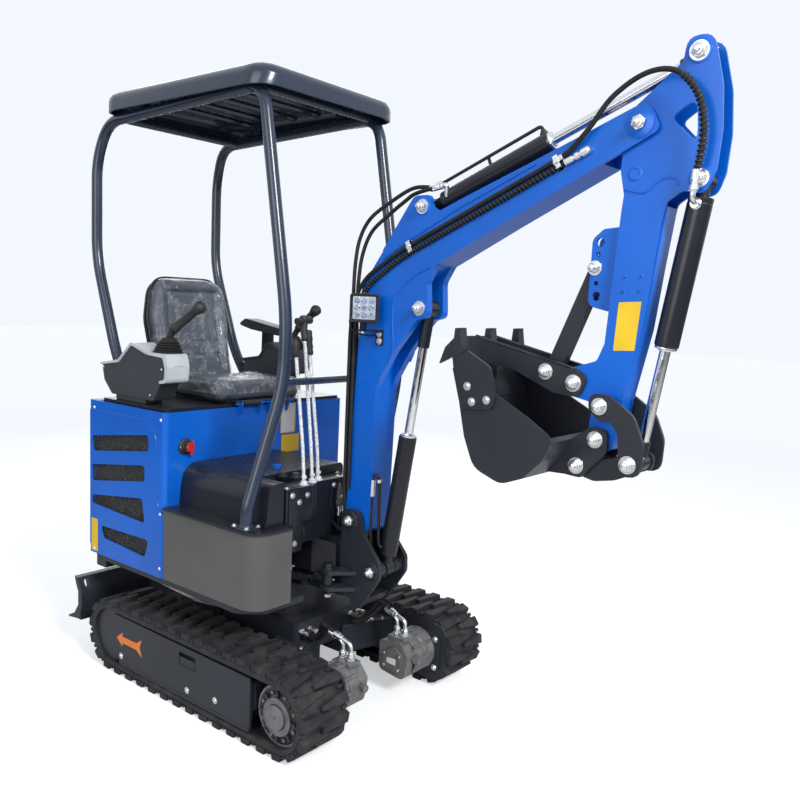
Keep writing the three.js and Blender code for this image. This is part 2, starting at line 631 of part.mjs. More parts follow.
function sidePanel(side, front) {
  const w = BODY_HALF_WIDTH;
  const band = (inset, z0, z1) => {
    const corners = [[ENGINE_FRONT + GAP, w - inset], [front - inset, w - inset, SIDE_PANEL_RADIUS - inset],
      [front - inset, SIDE_PANEL_INNER], [ENGINE_FRONT + GAP, SIDE_PANEL_INNER]];
    const placed = corners.map(([x, y, r]) => [x, side * y, r]);
    return slabUp(side > 0 ? placed.reverse() : placed, z0, z1, 8);
  };
  const low = PLATFORM_TOP + 2;
  const high = FLOOR_TOP - FLOOR_PLATE - GAP;
  const edges = [side * (SIDE_PANEL_INNER - 1), side * (SIDE_PANEL_INNER + SHEET)].sort((a, b) => a - b);
  const innerOpening = block(ENGINE_FRONT - 1, front - SHEET, ...edges, low - 1, high + 1);
  return cut(band(0, low, high), band(SHEET, low - 1, high + 1), innerOpening);
}

addMesh(upper, 'side_panel_R', sidePanel(-1, SIDE_PANEL_FRONT), PANEL_GREY);
addMesh(upper, 'side_panel_L', sidePanel(1, STEP_PANEL_FRONT), PANEL_GREY);

function floorPlate() {
  const w = BODY_HALF_WIDTH + 6;
  const right = SIDE_PANEL_FRONT + 6;
  const left = STEP_PANEL_FRONT + 6;
  return slabUp([[ENGINE_FRONT + GAP, -w], [right, -w, SIDE_PANEL_RADIUS], [right, -SIDE_PANEL_INNER, 10],
    [CONSOLE_FRONT, -SIDE_PANEL_INNER + 40, 10], [CONSOLE_FRONT, SIDE_PANEL_INNER, 10],
    [left, SIDE_PANEL_INNER + 60, 40], [left, w, SIDE_PANEL_RADIUS], [ENGINE_FRONT + GAP, w]],
  FLOOR_TOP - FLOOR_PLATE, FLOOR_TOP, 8);
}

addMesh(upper, 'floor_plate', floorPlate(), BLACK);

function tankCover() {
  const base = FLOOR_TOP + GAP;
  const body = slabAlong([[-394, base], [90, base], [90, TANK_COVER_TOP, 20], [-380, TANK_COVER_TOP, 100]],
    ENGINE_FRONT + GAP, CONSOLE_REAR - 4);
  const nose = slabAlong([[-386, base], [CONSOLE_RIGHT - 8, base], [CONSOLE_RIGHT - 8, TANK_COVER_TOP - 6],
    [-372, TANK_COVER_TOP - 6, 60]], CONSOLE_REAR - 5, CONSOLE_NOSE - 8);
  return join(body, nose);
}

addMesh(upper, 'tank_cover', tankCover(), BLACK);

function leverConsole() {
  const base = FLOOR_TOP + GAP;
  return slabUp([[CONSOLE_REAR, CONSOLE_RIGHT, 8], [CONSOLE_NOSE, CONSOLE_RIGHT, 14],
    [CONSOLE_NOSE, -180, 14],
    [CONSOLE_FRONT, -130, 14], [CONSOLE_FRONT, 60, 14], [CONSOLE_REAR, 60, 8]],
  base, CONSOLE_TOP);
}

addMesh(upper, 'lever_console', leverConsole(), BLACK);

// Levers on the front console: foot (x, y), how far the top leans back and rises, and its grip.
const LEVERS = [
  ['travel_lever_R', 270, -150, -71, 552, 60],
  ['travel_lever_L', 254, -104, -74, 500, 60],
  ['blade_lever', 280, -200, -66, 466, 30],
];

for (const [name, x, y, lean, rise, grip] of LEVERS) {
  const foot = point(0, 0, 4);
  const top = point(lean, 0, rise);
  const lever = join(bentTube([foot, point(-10, 2, 110), top], 6, 30),
    bentTube([top.clone().add(point(2, 0, -grip)), top.clone().add(point(-4, 1, 30))], 15, 1),
    discUp(0, 0, 17, 0, 12, 12));
  const group = groupAt(upper, x, y, CONSOLE_TOP + GAP);
  addMesh(group, name, lever, BLACK);
}

// ---------------------------------------------------------------- canopy

const POST_FOOT_Z = ENGINE_TOP + GAP;
const RAIL_REAR_Z = ROOF_TOP - 75 - POST_RADIUS;
const RAIL_FRONT_Z = ROOF_TOP - 41 - POST_RADIUS;

function canopyFrame() {
  const tubes = [];
  for (const side of [-1, 1]) {
    const foot = side < 0 ? point(243, -424, FLOOR_TOP + GAP) : point(225, SIDE_PANEL_INNER - 36,
      FLOOR_TOP + GAP);
    tubes.push(bentTube([point(-628, side * 312, POST_FOOT_Z), point(-628, side * 312, 1090),
      point(-716, side * 308, 1217), point(-862, side * 305, 1600),
      point(-862, side * 305, 1990), point(RAIL_SLOPE_START, side * RAIL_OFFSET, RAIL_REAR_Z),
      point(RAIL_SLOPE_END, side * RAIL_OFFSET, RAIL_FRONT_Z),
      point(272, side * 296, 1400), point(272, side * 300, 1180),
      foot.clone().setZ(760), foot],
    POST_RADIUS, 90));
    tubes.push(slabUp([[-40, -34, 8], [40, -34, 8], [40, 34, 8], [-40, 34, 8]].map(
      ([x, y, r]) => [x + foot.x, y + foot.y, r]), FLOOR_TOP + GAP, FLOOR_TOP + 10));
    tubes.push(slabUp([[-22, -40, 8], [22, -40, 8], [22, 40, 8], [-22, 40, 8]].map(
      ([x, y, r]) => [x - 626, y + side * 312, r]), POST_FOOT_Z, POST_FOOT_Z + 9));
  }
  const crossTube = (x, z, radius) => discAcross({ x, z }, radius, -RAIL_OFFSET, RAIL_OFFSET, 12);
  return join(tubes, crossTube(-700, RAIL_REAR_Z + 2, 16), crossTube(100, RAIL_FRONT_Z - 4, 16),
    crossTube(268, 1182, 13));
}

addMesh(upper, 'canopy_frame', canopyFrame(), CANOPY_BLUE);

function railHeight(x) {
  const share = (x - RAIL_SLOPE_START) / (RAIL_SLOPE_END - RAIL_SLOPE_START);
  return RAIL_REAR_Z + share * (RAIL_FRONT_Z - RAIL_REAR_Z);
}

function roof() {
  const bevel = 46;
  const layer = (inset) => {
    const x0 = ROOF_REAR + bevel + inset;
    const x1 = ROOF_FRONT - bevel - inset;
    const w = ROOF_HALF_WIDTH - bevel - inset;
    const geometry = new THREE.ExtrudeGeometry(outline([[x0, -w, 50], [x1, -w, 50], [x1, w, 50],
      [x0, w, 50]]),
      { depth: 200, bevelEnabled: true, bevelThickness: 40, bevelSize: bevel, bevelSegments: 4,
        curveSegments: 4 });
    return toSolid(geometry.translate(0, 0, ROOF_TOP - 240 - inset));
  };
  const low = ROOF_TOP - ROOF_DROOP;
  const keep = block(ROOF_REAR - 1, ROOF_FRONT + 1, -ROOF_HALF_WIDTH - 1, ROOF_HALF_WIDTH + 1, low,
    ROOF_TOP + 1);
  const shell = cut(layer(0), layer(ROOF_SHEET)).intersect(keep);
  const brackets = [-560, -60].flatMap((x) => [-1, 1].map((side) =>
    block(x - 25, x + 25, side * RAIL_OFFSET - 14, side * RAIL_OFFSET + 14,
      railHeight(x) + POST_RADIUS + GAP, ROOF_TOP - 4)));
  return join(shell, brackets);
}

addMesh(upper, 'canopy_roof', roof(), CANOPY_BLUE);

// ---------------------------------------------------------------- seat deck

const deck = groupAt(upper, DECK_HINGE.x, 0, DECK_HINGE.z);
const deckX = (x) => x - DECK_HINGE.x;
const deckZ = (z) => z - DECK_HINGE.z;
const DECK_TOP = ENGINE_TOP + GAP + DECK_THICKNESS;

function seatDeck() {
  const plate = slabUp([[deckX(DECK_REAR), -446, 16], [deckX(ENGINE_FRONT - 8), -446, 16],
    [deckX(ENGINE_FRONT - 8), 446, 16], [deckX(DECK_REAR), 446, 16]], deckZ(ENGINE_TOP + GAP),
      deckZ(DECK_TOP));
  const leaf = [-74, 74].map((y) => join(
    discAcross({ x: 0, z: 0 }, 11, y - 40, y + 40, 16),
    slabAcross([[deckX(ENGINE_FRONT - 30), deckZ(DECK_TOP) - 4],
      [deckX(ENGINE_FRONT - 30), deckZ(DECK_TOP) + 6],
      [0, 11], [0, 2]], y - 40, y + 40)));
  const bores = discAcross({ x: 0, z: 0 }, boreFor(HINGE_ROD), -160, 160);
  return cut(join(plate, leaf), bores);
}

addMesh(deck, 'seat_deck', seatDeck(), BLACK);

// Padded shape: the outline is the flat of the cushion, and the padding swells `bevel` beyond it.
function cushionSolid(corners, half, bevel) {
  const geometry = new THREE.ExtrudeGeometry(outline(corners),
    { depth: 2 * (half - bevel), bevelEnabled: true, bevelThickness: bevel, bevelSize: bevel,
      bevelSegments: 3, curveSegments: 3 });
  return toSolid(geometry.rotateX(Math.PI / 2).translate(0, half - bevel, 0));
}

const PADDING = 16;
const seatPoint = ([x, z, r]) => [deckX(x), deckZ(z), r];
addMesh(deck, 'seat_cushion', cushionSolid([[-530, DECK_TOP + PADDING + GAP, 8],
  [-300, DECK_TOP + PADDING + GAP, 10],
  [-280, DECK_TOP + PADDING + 16, 10], [-156, DECK_TOP + PADDING + 16, 14],
  [-148, 1128, 24], [-530, 1122, 20]].map(seatPoint), SEAT_HALF_WIDTH, PADDING), VINYL);
addMesh(deck, 'seat_back', cushionSolid([[-602, DECK_TOP + PADDING + GAP, 8],
  [-570, DECK_TOP + PADDING + GAP, 8],
  [-574, 1160, 30], [-662, SEAT_BACK_TOP - 2, 20], [-698, SEAT_BACK_TOP, 20],
  [-626, 1180, 40]].map(seatPoint), SEAT_BACK_HALF_WIDTH, PADDING), VINYL);

// Control pods beside the seat: each one's distance from the middle, its front and its crest,
// where its joystick stands, and where the joystick's ball is.
const PODS = [
  { suffix: 'R', near: -342, far: -440, front: -182, crest: -412, stick: -246, ball: -72, armrest: false },
  { suffix: 'L', near: 262, far: 352, front: -262, crest: -440, stick: -326, ball: -178, armrest: true },
];
const POD_TOP = 1247;

function controlPod({ near, far, front, crest, armrest }) {
  const edges = [near, far].sort((a, b) => a - b);
  const shell = slabAcross([[-617, 1187, 16], [-600, 1119, 14], [-546, 1068, 14], [front - 88, 1066, 14],
    [front - 42, 1138, 12], [front - 6, 1144, 20], [front, 1200, 20], [front - 14, POD_TOP, 18],
    [front - 124, POD_TOP, 20], [crest, 1278, 26], [-496, 1206, 30]].map(seatPoint),
  ...edges);
  const foot = block(deckX(-520), deckX(-320), edges[0] + 10, edges[1] - 10, deckZ(DECK_TOP + GAP),
    deckZ(1080));
  if (!armrest) return join(shell, foot);
  const post = block(deckX(-500), deckX(-450), edges[0] + 24, edges[1] - 24, deckZ(1200), deckZ(1322));
  const rest = slabAcross([[-640, 1338, 12], [-560, 1320, 20], [-380, 1300, 12], [-372, 1330, 14],
    [-600, 1366, 20]].map(seatPoint), edges[0] + 8, edges[1] - 8);
  return join(shell, foot, post, rest);
}

function joystick({ near, far, stick, ball }) {
  const middle = (near + far) / 2;
  const base = POD_TOP + GAP;
  const inward = -10 * Math.sign(middle);
  const boot = toSolid(new THREE.CylinderGeometry(24, 44, 56, 14).rotateX(Math.PI / 2)
    .translate(deckX(stick), middle, deckZ(base) + 28));
  const grip = bentTube([point(deckX(stick), middle, deckZ(base + 46)),
    point(deckX(stick + 26), middle, deckZ(base + 82)),
    point(deckX(ball), middle + inward, deckZ(base + 178))], 19, 40);
  return join(boot, grip);
}

for (const pod of PODS) {
  addMesh(deck, `control_pod_${pod.suffix}`, controlPod(pod), PLASTIC);
  addMesh(deck, `joystick_${pod.suffix}`, joystick(pod), BLACK);
}

// ---------------------------------------------------------------- swing bracket

const bracketGroup = groupAt(upper, SWING_AXIS_X, 0, 0);

function swingBracket() {
  const local = (pin) => ({ x: pin.x - SWING_AXIS_X, z: pin.z });
  const foot = local(BOOM_FOOT);
  const base = local(BOOM_BARREL_PIN);
  const cheeks = platePair([[foot.x - 40, foot.z + 40, 40], [foot.x - 40, foot.z - 30], [34, 560],
    [34, 470],
    [foot.x + 8, 420], [foot.x + 20, 384, 20], [foot.x + 56, 384, 20], [base.x + 36, base.z - 20, 30],
    [base.x + 34, base.z + 36, 34], [foot.x + 62, foot.z - 40, 60], [foot.x + 42, foot.z + 40, 40]],
  BRACKET_INNER, BRACKET_OUTER);
  const web = block(EAR_RADIUS + 5, EAR_RADIUS + 19, -BRACKET_INNER - 2, BRACKET_INNER + 2, 440,
    foot.z - 78);
  const hub = discUp(0, 0, HUB_RADIUS, HUB_LOW, HUB_HIGH);
  const neck = block(10, EAR_RADIUS + 6, -34, 34, HUB_LOW + 4, HUB_HIGH - 4);
  const bottomWeb = slabAcross([[foot.x + 14, 392], [foot.x + 54, 392], [foot.x + 76, 424],
    [foot.x + 36, 424]],
    -BRACKET_INNER - 2, BRACKET_INNER + 2);
  const pins = [
    discAcross(foot, PIN_RADIUS + 3, -BRACKET_OUTER, BRACKET_OUTER),
    discAcross(base, PIN_RADIUS, -BRACKET_OUTER, BRACKET_OUTER),
    ...discPair(base, 26, EYE_HALF + 6, BRACKET_INNER + 2),
  ];
  const rodPin = { x: SWING_ROD_PIN.x - SWING_AXIS_X, y: SWING_ROD_PIN.y };
  const lever = (low, high) => slabUp([[rodPin.x - 26, rodPin.y - 26, 26],
    [rodPin.x + 26, rodPin.y - 26, 20],
    [120, -BRACKET_INNER - 6], [60, -BRACKET_INNER - 6], [rodPin.x - 26, rodPin.y + 22, 20]], low, high);
  const levers = [lever(SWING_HEIGHT - 36, SWING_HEIGHT - 23), lever(SWING_HEIGHT + 23, SWING_HEIGHT + 36)];
  const stubs = [discUp(rodPin.x, rodPin.y, 12, SWING_HEIGHT - 44, SWING_HEIGHT - 22, 16),
    discUp(rodPin.x, rodPin.y, 12, SWING_HEIGHT + 22, SWING_HEIGHT + 46, 16)];
  const bore = discUp(0, 0, boreFor(24), HUB_LOW - 1, HUB_HIGH + 1);
  return cut(join(cheeks, web, hub, neck, bottomWeb, pins, levers, stubs), bore);
}

addMesh(bracketGroup, 'swing_bracket', swingBracket(), CHARCOAL);
cylinder(upper, 'swing_cylinder', point(SWING_BARREL_PIN.x, SWING_BARREL_PIN.y, SWING_HEIGHT),
  point(SWING_ROD_PIN.x, SWING_ROD_PIN.y, SWING_HEIGHT),
  { hinge: point(0, 0, 1), radius: 25, eyeRadius: 22, eyeHalf: 20, pinRadius: 13,
    neck: 36, barrelLength: 282, rodLength: 268 });

// ---------------------------------------------------------------- boom

const boomGroup = groupAt(upper, BOOM_FOOT.x, 0, BOOM_FOOT.z);
const KNEE = minus(BOOM_KNEE, BOOM_FOOT);
const TIP = minus(ARM_PIVOT, BOOM_FOOT);
const FOOT = { x: 0, z: 0 };
const EYE_RADIUS = 44;
const FORK_CUT_RADIUS = 140;

function boom() {
  const leg = (t, off, r) => [...station(FOOT, KNEE, t, off), r];
  const top = (t, off, r) => [...station(KNEE, TIP, t, off), r];
  const side = [
    [-44, -44, 44], [62, -44, 30], leg(0.66, -62, 60), leg(0.84, -78, 60), top(0.14, -84, 60),
    top(0.27, -54, 60), top(0.55, -48), top(0.86, -46, 30), top(1, -EYE_RADIUS, 20),
    top(1.042, -EYE_RADIUS, 44),
      top(1.042, EYE_RADIUS, 44),
    top(0.875, 56, 40), top(0.7, 69), top(0.46, 90), top(0.27, 103, 80), top(0.14, 102, 60),
      leg(1.0, 26, 90), leg(0.8, 26)];
  const plates = platePair(side, FORK_INNER, BOOM_HALF);
  const rodPin = minus(BOOM_ROD_PIN, BOOM_FOOT);
  const core = cut(slabAcross(side, -FORK_INNER - 1, FORK_INNER + 1),
    discAcross(TIP, FORK_CUT_RADIUS, -FORK_INNER - 2, FORK_INNER + 2, 32),
    discAcross(rodPin, 66, -EYE_HALF - 9, EYE_HALF + 9, 24));
  const barrelPin = minus(ARM_BARREL_PIN, BOOM_FOOT);
  const lowerLug = platePair([leg(0.56, -56), leg(0.63, -80, 60), leg(0.75, -136, 60),
    [rodPin.x - 8, rodPin.z - 38, 36], [rodPin.x + 34, rodPin.z - 30, 34],
    [rodPin.x + 30, rodPin.z + 40, 60], [rodPin.x + 26, rodPin.z + 86, 40], top(0.28, -54),
    top(0.2, 0), leg(0.95, 0)], EYE_HALF + 9, BOOM_HALF);
  const upperLug = platePair([top(0.1, 90), top(0.36, 84), [barrelPin.x + 36, barrelPin.z + 2, 20],
    [barrelPin.x + 34, barrelPin.z + 36, 36], [barrelPin.x - 36, barrelPin.z + 36, 36]], 37, 50);
  const bosses = discPair(FOOT, 40, BOOM_HALF - 1, BRACKET_INNER - PIN_CLEARANCE);
  const pins = [
    discAcross(TIP, PIN_RADIUS + 2, -BOOM_HALF, BOOM_HALF),
    discAcross(barrelPin, PIN_RADIUS, -50, 50),
    ...discPair(barrelPin, 24, EYE_HALF + 2, 38),
    ...discPair(rodPin, PIN_RADIUS, EYE_HALF + 4, BOOM_HALF + 6),
  ];
  const footBore = discAcross(FOOT, boreFor(PIN_RADIUS + 3), -BRACKET_INNER - 1, BRACKET_INNER + 1);
  return cut(join(plates, core, lowerLug, upperLug, bosses, pins), footBore);
}

addMesh(boomGroup, 'boom', boom(), BLUE);

// The lamp looks forward and to the right, on a bracket bolted to the boom's side.
const LIGHT = { x: 55, y: -BOOM_HALF - 52, z: 748 };
const LIGHT_TURN = -Math.PI / 4;

function workLight() {
  const lamp = toSolid(extrude([[-45, -45, 8], [45, -45, 8], [45, 45, 8], [-45, 45, 8]], 40)
    .rotateX(Math.PI / 2).rotateZ(Math.PI / 2).translate(-20, 0, 0)
    .rotateZ(LIGHT_TURN).translate(LIGHT.x, LIGHT.y, LIGHT.z));
  const strap = block(LIGHT.x - 12, LIGHT.x + 46, -BOOM_HALF - 64, -BOOM_HALF - GAP, LIGHT.z - 78,
    LIGHT.z - 72);
  const stem = block(LIGHT.x - 8, LIGHT.x + 8, LIGHT.y - 8, LIGHT.y + 8, LIGHT.z - 76, LIGHT.z - 40);
  const foot = block(LIGHT.x + 16, LIGHT.x + 46, -BOOM_HALF - GAP - 6, -BOOM_HALF - GAP, LIGHT.z - 126,
    LIGHT.z - 72);
  return join(lamp, strap, stem, foot);
}

addMesh(boomGroup, 'work_light', workLight(), LAMP);

// Two hoses clipped along the boom's right side, up from the foot and round the knee. They are
// one body with their clamps. Each is a route in the plane of the boom, from the middle of the tracks.
const HOSE_RADIUS = 7;
const HOSE_LINE_Y = -BOOM_HALF - 9;
const HOSE_BEND = 70;
const HOSE_ROUTES = [
  [[350, 800], [352, 1400], [392, 1532], [560, 1634], [1134, 1890]],
  [[368, 800], [372, 1388], [406, 1508], [568, 1614], [1172, 1886]],
];
const HOSE_CLAMPS = [[602, 1647], [1122, 1878]];
const CLAMP_HALF_LENGTH = 9;
const CLAMP_HALF_WIDTH = 23;

function boomHoses() {
  const local = ([x, z]) => point(x - BOOM_FOOT.x, HOSE_LINE_Y, z - BOOM_FOOT.z);
  const hoses = HOSE_ROUTES.map((route) => bentTube(route.map(local), HOSE_RADIUS, HOSE_BEND, 6, 4));
  const clamps = HOSE_CLAMPS.map(([x, z]) => {
    const here = { x: x - BOOM_FOOT.x, z: z - BOOM_FOOT.z };
    const ahead = { x: here.x + TIP.x - KNEE.x, z: here.z + TIP.z - KNEE.z };
    const reach = CLAMP_HALF_LENGTH / Math.hypot(ahead.x - here.x, ahead.z - here.z);
    return slabAcross([station(here, ahead, -reach, -CLAMP_HALF_WIDTH),
      station(here, ahead, reach, -CLAMP_HALF_WIDTH),
      station(here, ahead, reach, CLAMP_HALF_WIDTH), station(here, ahead, -reach, CLAMP_HALF_WIDTH)],
    HOSE_LINE_Y - HOSE_RADIUS - 1, -BOOM_HALF - GAP);
  });
  return join(hoses, clamps);
}

addMesh(boomGroup, 'boom_hoses', boomHoses(), RUBBER);

cylinder(upper, 'boom_cylinder', inPlane(BOOM_BARREL_PIN), inPlane(BOOM_ROD_PIN),
  { hinge: ACROSS, radius: 31, eyeRadius: 28, eyeHalf: EYE_HALF, pinRadius: PIN_RADIUS,
    neck: 52, barrelLength: 492, rodLength: 590 });
cylinder(upper, 'arm_cylinder', inPlane(ARM_BARREL_PIN), inPlane(ARM_ROD_PIN),
  { hinge: ACROSS, radius: 30, eyeRadius: 28, eyeHalf: EYE_HALF, pinRadius: PIN_RADIUS,
    neck: 60, barrelLength: 470, rodLength: 520 });

// ---------------------------------------------------------------- arm

const armGroup = groupAt(upper, ARM_PIVOT.x, 0, ARM_PIVOT.z);
const fromPivot = (pin) => minus(pin, ARM_PIVOT);
const PIVOT = { x: 0, z: 0 };

function arm() {
  const rod = fromPivot(ARM_ROD_PIN);
  const barrel = fromPivot(BUCKET_BARREL_PIN);
  const rocker = fromPivot(ROCKER_PIN);
  const tip = fromPivot(BUCKET_PIN);
  const thumb = fromPivot(THUMB_PIN);
  const side = [
    [rod.x - 40, rod.z - 20, 30], [rod.x - 34, rod.z + 38, 38], [rod.x + 34, rod.z + 40, 40],
    [rod.x + 66, rod.z - 90, 120], [rod.x + 74, rod.z - 200, 120], [barrel.x + 40, barrel.z + 20, 50],
    [barrel.x + 18, barrel.z - 44, 36], [barrel.x - 44, barrel.z - 30, 20], [84, -206, 20], [74, -260],
    [42, -545], [tip.x + 66, tip.z + 130, 30], [tip.x + 38, tip.z - 36, 36], [tip.x - 38, tip.z - 38, 38],
    [rocker.x - 38, rocker.z + 4, 20], [thumb.x - 34, thumb.z - 34, 34], [thumb.x - 32, thumb.z + 38, 34],
    [-84, -640, 20], [-64, -590], [-42, -224], [-38, -184, 20], [-52, -120, 40], [-44, 30, 40]];
  const core = cut(slabAcross(side, -ARM_SLOT - 1, ARM_SLOT + 1),
    slabAcross([[-10, 52, 20], [60, 30, 40], [62, -110, 20], [rod.x - 60, -130, 10], [44, -222], [62, -700],
      [320, -700], [320, 320], [-40, 320]], -ARM_SLOT - 2, ARM_SLOT + 2));
  const window = slabAcross([[rod.x + 4, rod.z - 112, 26], [rod.x - 60, rod.z - 158, 14],
    [rod.x + 14, rod.z - 234, 14]],
    -ARM_HALF - 1, ARM_HALF + 1);
  const plates = platePair(side, ARM_SLOT, ARM_HALF);
  const backWeb = slabAcross([[44, -214], [84, -218], [58, -420], [42, -545], [30, -545]], -ARM_SLOT - 1,
    ARM_SLOT + 1);
  const bracket = cut(
    join(platePair([[-128, -300, 26], [-96, -272, 20], [-30, -266], [-44, -500], [-70, -500, 14],
      [-130, -486, 26]],
      STAY_HALF + GAP, STAY_HALF + 12)),
    STAY_HOLES.map(([x, z, radius]) => discAcross({ x: x - ARM_PIVOT.x, z: z - ARM_PIVOT.z }, radius,
      -STAY_HALF - 13, STAY_HALF + 13, 16)));
  const pins = [
    discAcross(fromPivot(STAY_TOP), STAY_BOLT, -STAY_HALF - 14, STAY_HALF + 14),
    discAcross(PIVOT, 40, -FORK_INNER + PIN_CLEARANCE, FORK_INNER - PIN_CLEARANCE),
    ...discPair(rod, PIN_RADIUS, EYE_HALF + 4, ARM_HALF + 4),
    discAcross(barrel, PIN_RADIUS, -ARM_HALF, ARM_HALF),
    ...discPair(barrel, 22, EYE_HALF + 2, ARM_SLOT + 1),
    ...discPair(rocker, 26, ARM_HALF - 1, ROCKER_INNER - PIN_CLEARANCE),
    ...discPair(tip, 34, ARM_HALF - 1, EAR_INNER - PIN_CLEARANCE),
  ];
  const bores = [
    discAcross(PIVOT, boreFor(PIN_RADIUS + 2), -FORK_INNER, FORK_INNER),
    discAcross(rocker, boreFor(PIN_RADIUS), -ROCKER_INNER, ROCKER_INNER),
    discAcross(tip, boreFor(PIN_RADIUS), -EAR_INNER, EAR_INNER),
  ];
  return cut(cut(join(core, plates, backWeb, bracket, pins), window), bores);
}

addMesh(armGroup, 'arm', arm(), BLUE);

function thumb() {
  const pin = fromPivot(THUMB_PIN);
  const at = (x, z, r) => [x - ARM_PIVOT.x, z - ARM_PIVOT.z, r];
  const plates = platePair([
    at(731, 1276), at(752, 1330, 20), at(790, 1366, 20), at(856, 1372, 20), [pin.x + 4, pin.z + 42, 30],
    [pin.x + 42, pin.z + 20, 30], [pin.x + 20, pin.z - 40, 30], [pin.x - 60, pin.z - 34], at(1000, 1282),
    at(940, 1287), at(850, 1300, 20), at(790, 1306, 30), at(760, 1290)], THUMB_INNER, THUMB_OUTER);
  const spacer = slabAcross([at(960, 1312), at(960, 1328), at(1004, 1322), at(1004, 1306)],
    -THUMB_INNER - 1, THUMB_INNER + 1);
  const tie = discAcross(fromPivot(STAY_FOOT), STAY_BOLT, -THUMB_INNER - 1, THUMB_INNER + 1);
  return join(plates, spacer, tie);
}

addMesh(armGroup, 'thumb', thumb(), CHARCOAL);

function thumbStay() {
  const top = fromPivot(STAY_TOP);
  const low = fromPivot(STAY_FOOT);
  const bores = [top, low].map((at) => discAcross(at, boreFor(STAY_BOLT, GAP), -STAY_HALF - 1,
    STAY_HALF + 1));
  return cut(slabAcross(linkPlate(low, top, 24, 22), -STAY_HALF, STAY_HALF), bores);
}

addMesh(armGroup, 'thumb_stay', thumbStay(), CHARCOAL);

cylinder(armGroup, 'bucket_cylinder', inPlane(fromPivot(BUCKET_BARREL_PIN)),
  inPlane(fromPivot(LINK_ROD_PIN)),
  { hinge: ACROSS, radius: 33, eyeRadius: 26, eyeHalf: EYE_HALF, pinRadius: PIN_RADIUS,
    neck: 46, barrelLength: 450, rodLength: 470 });

// Curved rocker plates from the arm to the rod's pin.
const rockerGroup = groupAt(armGroup, ROCKER_PIN.x - ARM_PIVOT.x, 0, ROCKER_PIN.z - ARM_PIVOT.z);

function rocker() {
  const end = minus(LINK_ROD_PIN, ROCKER_PIN);
  const start = { x: 0, z: 0 };
  const plates = platePair([[-34, -12, 34], [-32, 34, 36], [24, 34, 40], [end.x + 8, end.z + 134, 60],
    [end.x + 40, end.z + 60, 60], [end.x + 36, end.z - 34, 34], [end.x - 32, end.z - 34, 34],
    [end.x - 30, end.z + 30, 30], [end.x - 36, end.z + 84, 40], [30, -36, 20], [8, -46, 30]],
  ROCKER_INNER, ROCKER_OUTER);
  const pin = discAcross(start, PIN_RADIUS, -ROCKER_OUTER, ROCKER_OUTER);
  const stubs = discPair(end, 13, LINK_INNER - 3, ROCKER_OUTER);
  const collars = discPair(end, 22, LINK_OUTER + SIDE_PLAY, ROCKER_INNER + 1);
  return join(plates, pin, stubs, collars);
}

addMesh(rockerGroup, 'rocker', rocker(), CHARCOAL);

// Bucket link, from the rod's pin to the bucket.
const linkGroup = groupAt(armGroup, LINK_ROD_PIN.x - ARM_PIVOT.x, 0, LINK_ROD_PIN.z - ARM_PIVOT.z);

function bucketLink() {
  const end = minus(LINK_PIN, LINK_ROD_PIN);
  const plates = platePair([[28, -20, 26], [28, 24, 24], [-20, 16, 20], [end.x + 60, end.z + 22, 20],
    [end.x + 10, end.z + 28, 26], [end.x - 28, end.z + 20, 26], [end.x - 24, end.z - 24, 26],
    [end.x + 50, end.z - 40, 40], [-50, -56, 60]], LINK_INNER, LINK_OUTER);
  const tube = discAcross(end, 24, -LINK_OUTER, LINK_OUTER);
  const bores = [discAcross({ x: 0, z: 0 }, boreFor(13), -LINK_OUTER - 1, LINK_OUTER + 1),
    discAcross(end, PIN_RADIUS, -LINK_OUTER - 1, LINK_OUTER + 1)];
  return cut(join(plates, tube), bores);
}

addMesh(linkGroup, 'bucket_link', bucketLink(), CHARCOAL);

// ---------------------------------------------------------------- bucket

const bucketGroup = groupAt(armGroup, BUCKET_PIN.x - ARM_PIVOT.x, 0, BUCKET_PIN.z - ARM_PIVOT.z);

function bucket() {
  const at = (x, z, r) => [x - BUCKET_PIN.x, z - BUCKET_PIN.z, r];
  const outer = [at(881, 1277), at(911, 1178), at(934, 1080, 60), at(972, 990, 70), at(1068, 956, 60),
    at(1140, 984, 40), at(1196, 1040, 20), at(1224, 1098)];
  const inner = [at(1212, 1108), at(1186, 1050, 20), at(1134, 994, 40), at(1068, 966, 60), at(980, 998, 70),
    at(943, 1083, 60), at(920, 1180), at(889, 1282)];
  const sideOutline = [...outer, at(1212, 1118), at(1144, 1159, 20), at(1040, 1212), at(915, 1290)];
  const wrapper = slabAcross([...outer, ...inner], -BUCKET_HALF + 1, BUCKET_HALF - 1, 5);
  const cheeks = platePair(sideOutline, BUCKET_HALF - BUCKET_PLATE, BUCKET_HALF);
  const cutters = platePair([at(893, 1296), at(936, 1334, 10), at(1019, 1290, 20), at(1040, 1206, 10),
    at(1030, 1170, 14), at(922, 1160)], BUCKET_HALF - 1, BUCKET_HALF + 9);
  const tooth = [at(896, 1228), at(874, 1290), at(876, 1396), at(897, 1398), at(904, 1300), at(906, 1240)];
  const teeth = [-TOOTH_OFFSET, 0, TOOTH_OFFSET].map((y) =>
    slabAcross(tooth, y - TOOTH_WIDTH / 2, y + TOOTH_WIDTH / 2));
  const pin = { x: 0, z: 0 };
  const link = minus(LINK_PIN, BUCKET_PIN);
  const ears = platePair([[-14, 36, 30], [36, 30, 34], [36, -36, 34], [link.x + 36, link.z - 10, 26],
    [link.x + 20, link.z - 34, 30], [link.x - 34, link.z - 30, 24], at(1140, 990), at(1190, 1040),
      at(1222, 1100)],
  EAR_INNER, EAR_OUTER);
  const pivot = discAcross(pin, PIN_RADIUS, -EAR_OUTER, EAR_OUTER);
  const heads = discPair(link, PIN_RADIUS, EAR_OUTER - 1, EAR_OUTER + 4);
  return join(wrapper, cheeks, cutters, teeth, ears, pivot, heads);
}

addMesh(bucketGroup, 'bucket', bucket(), CHARCOAL);

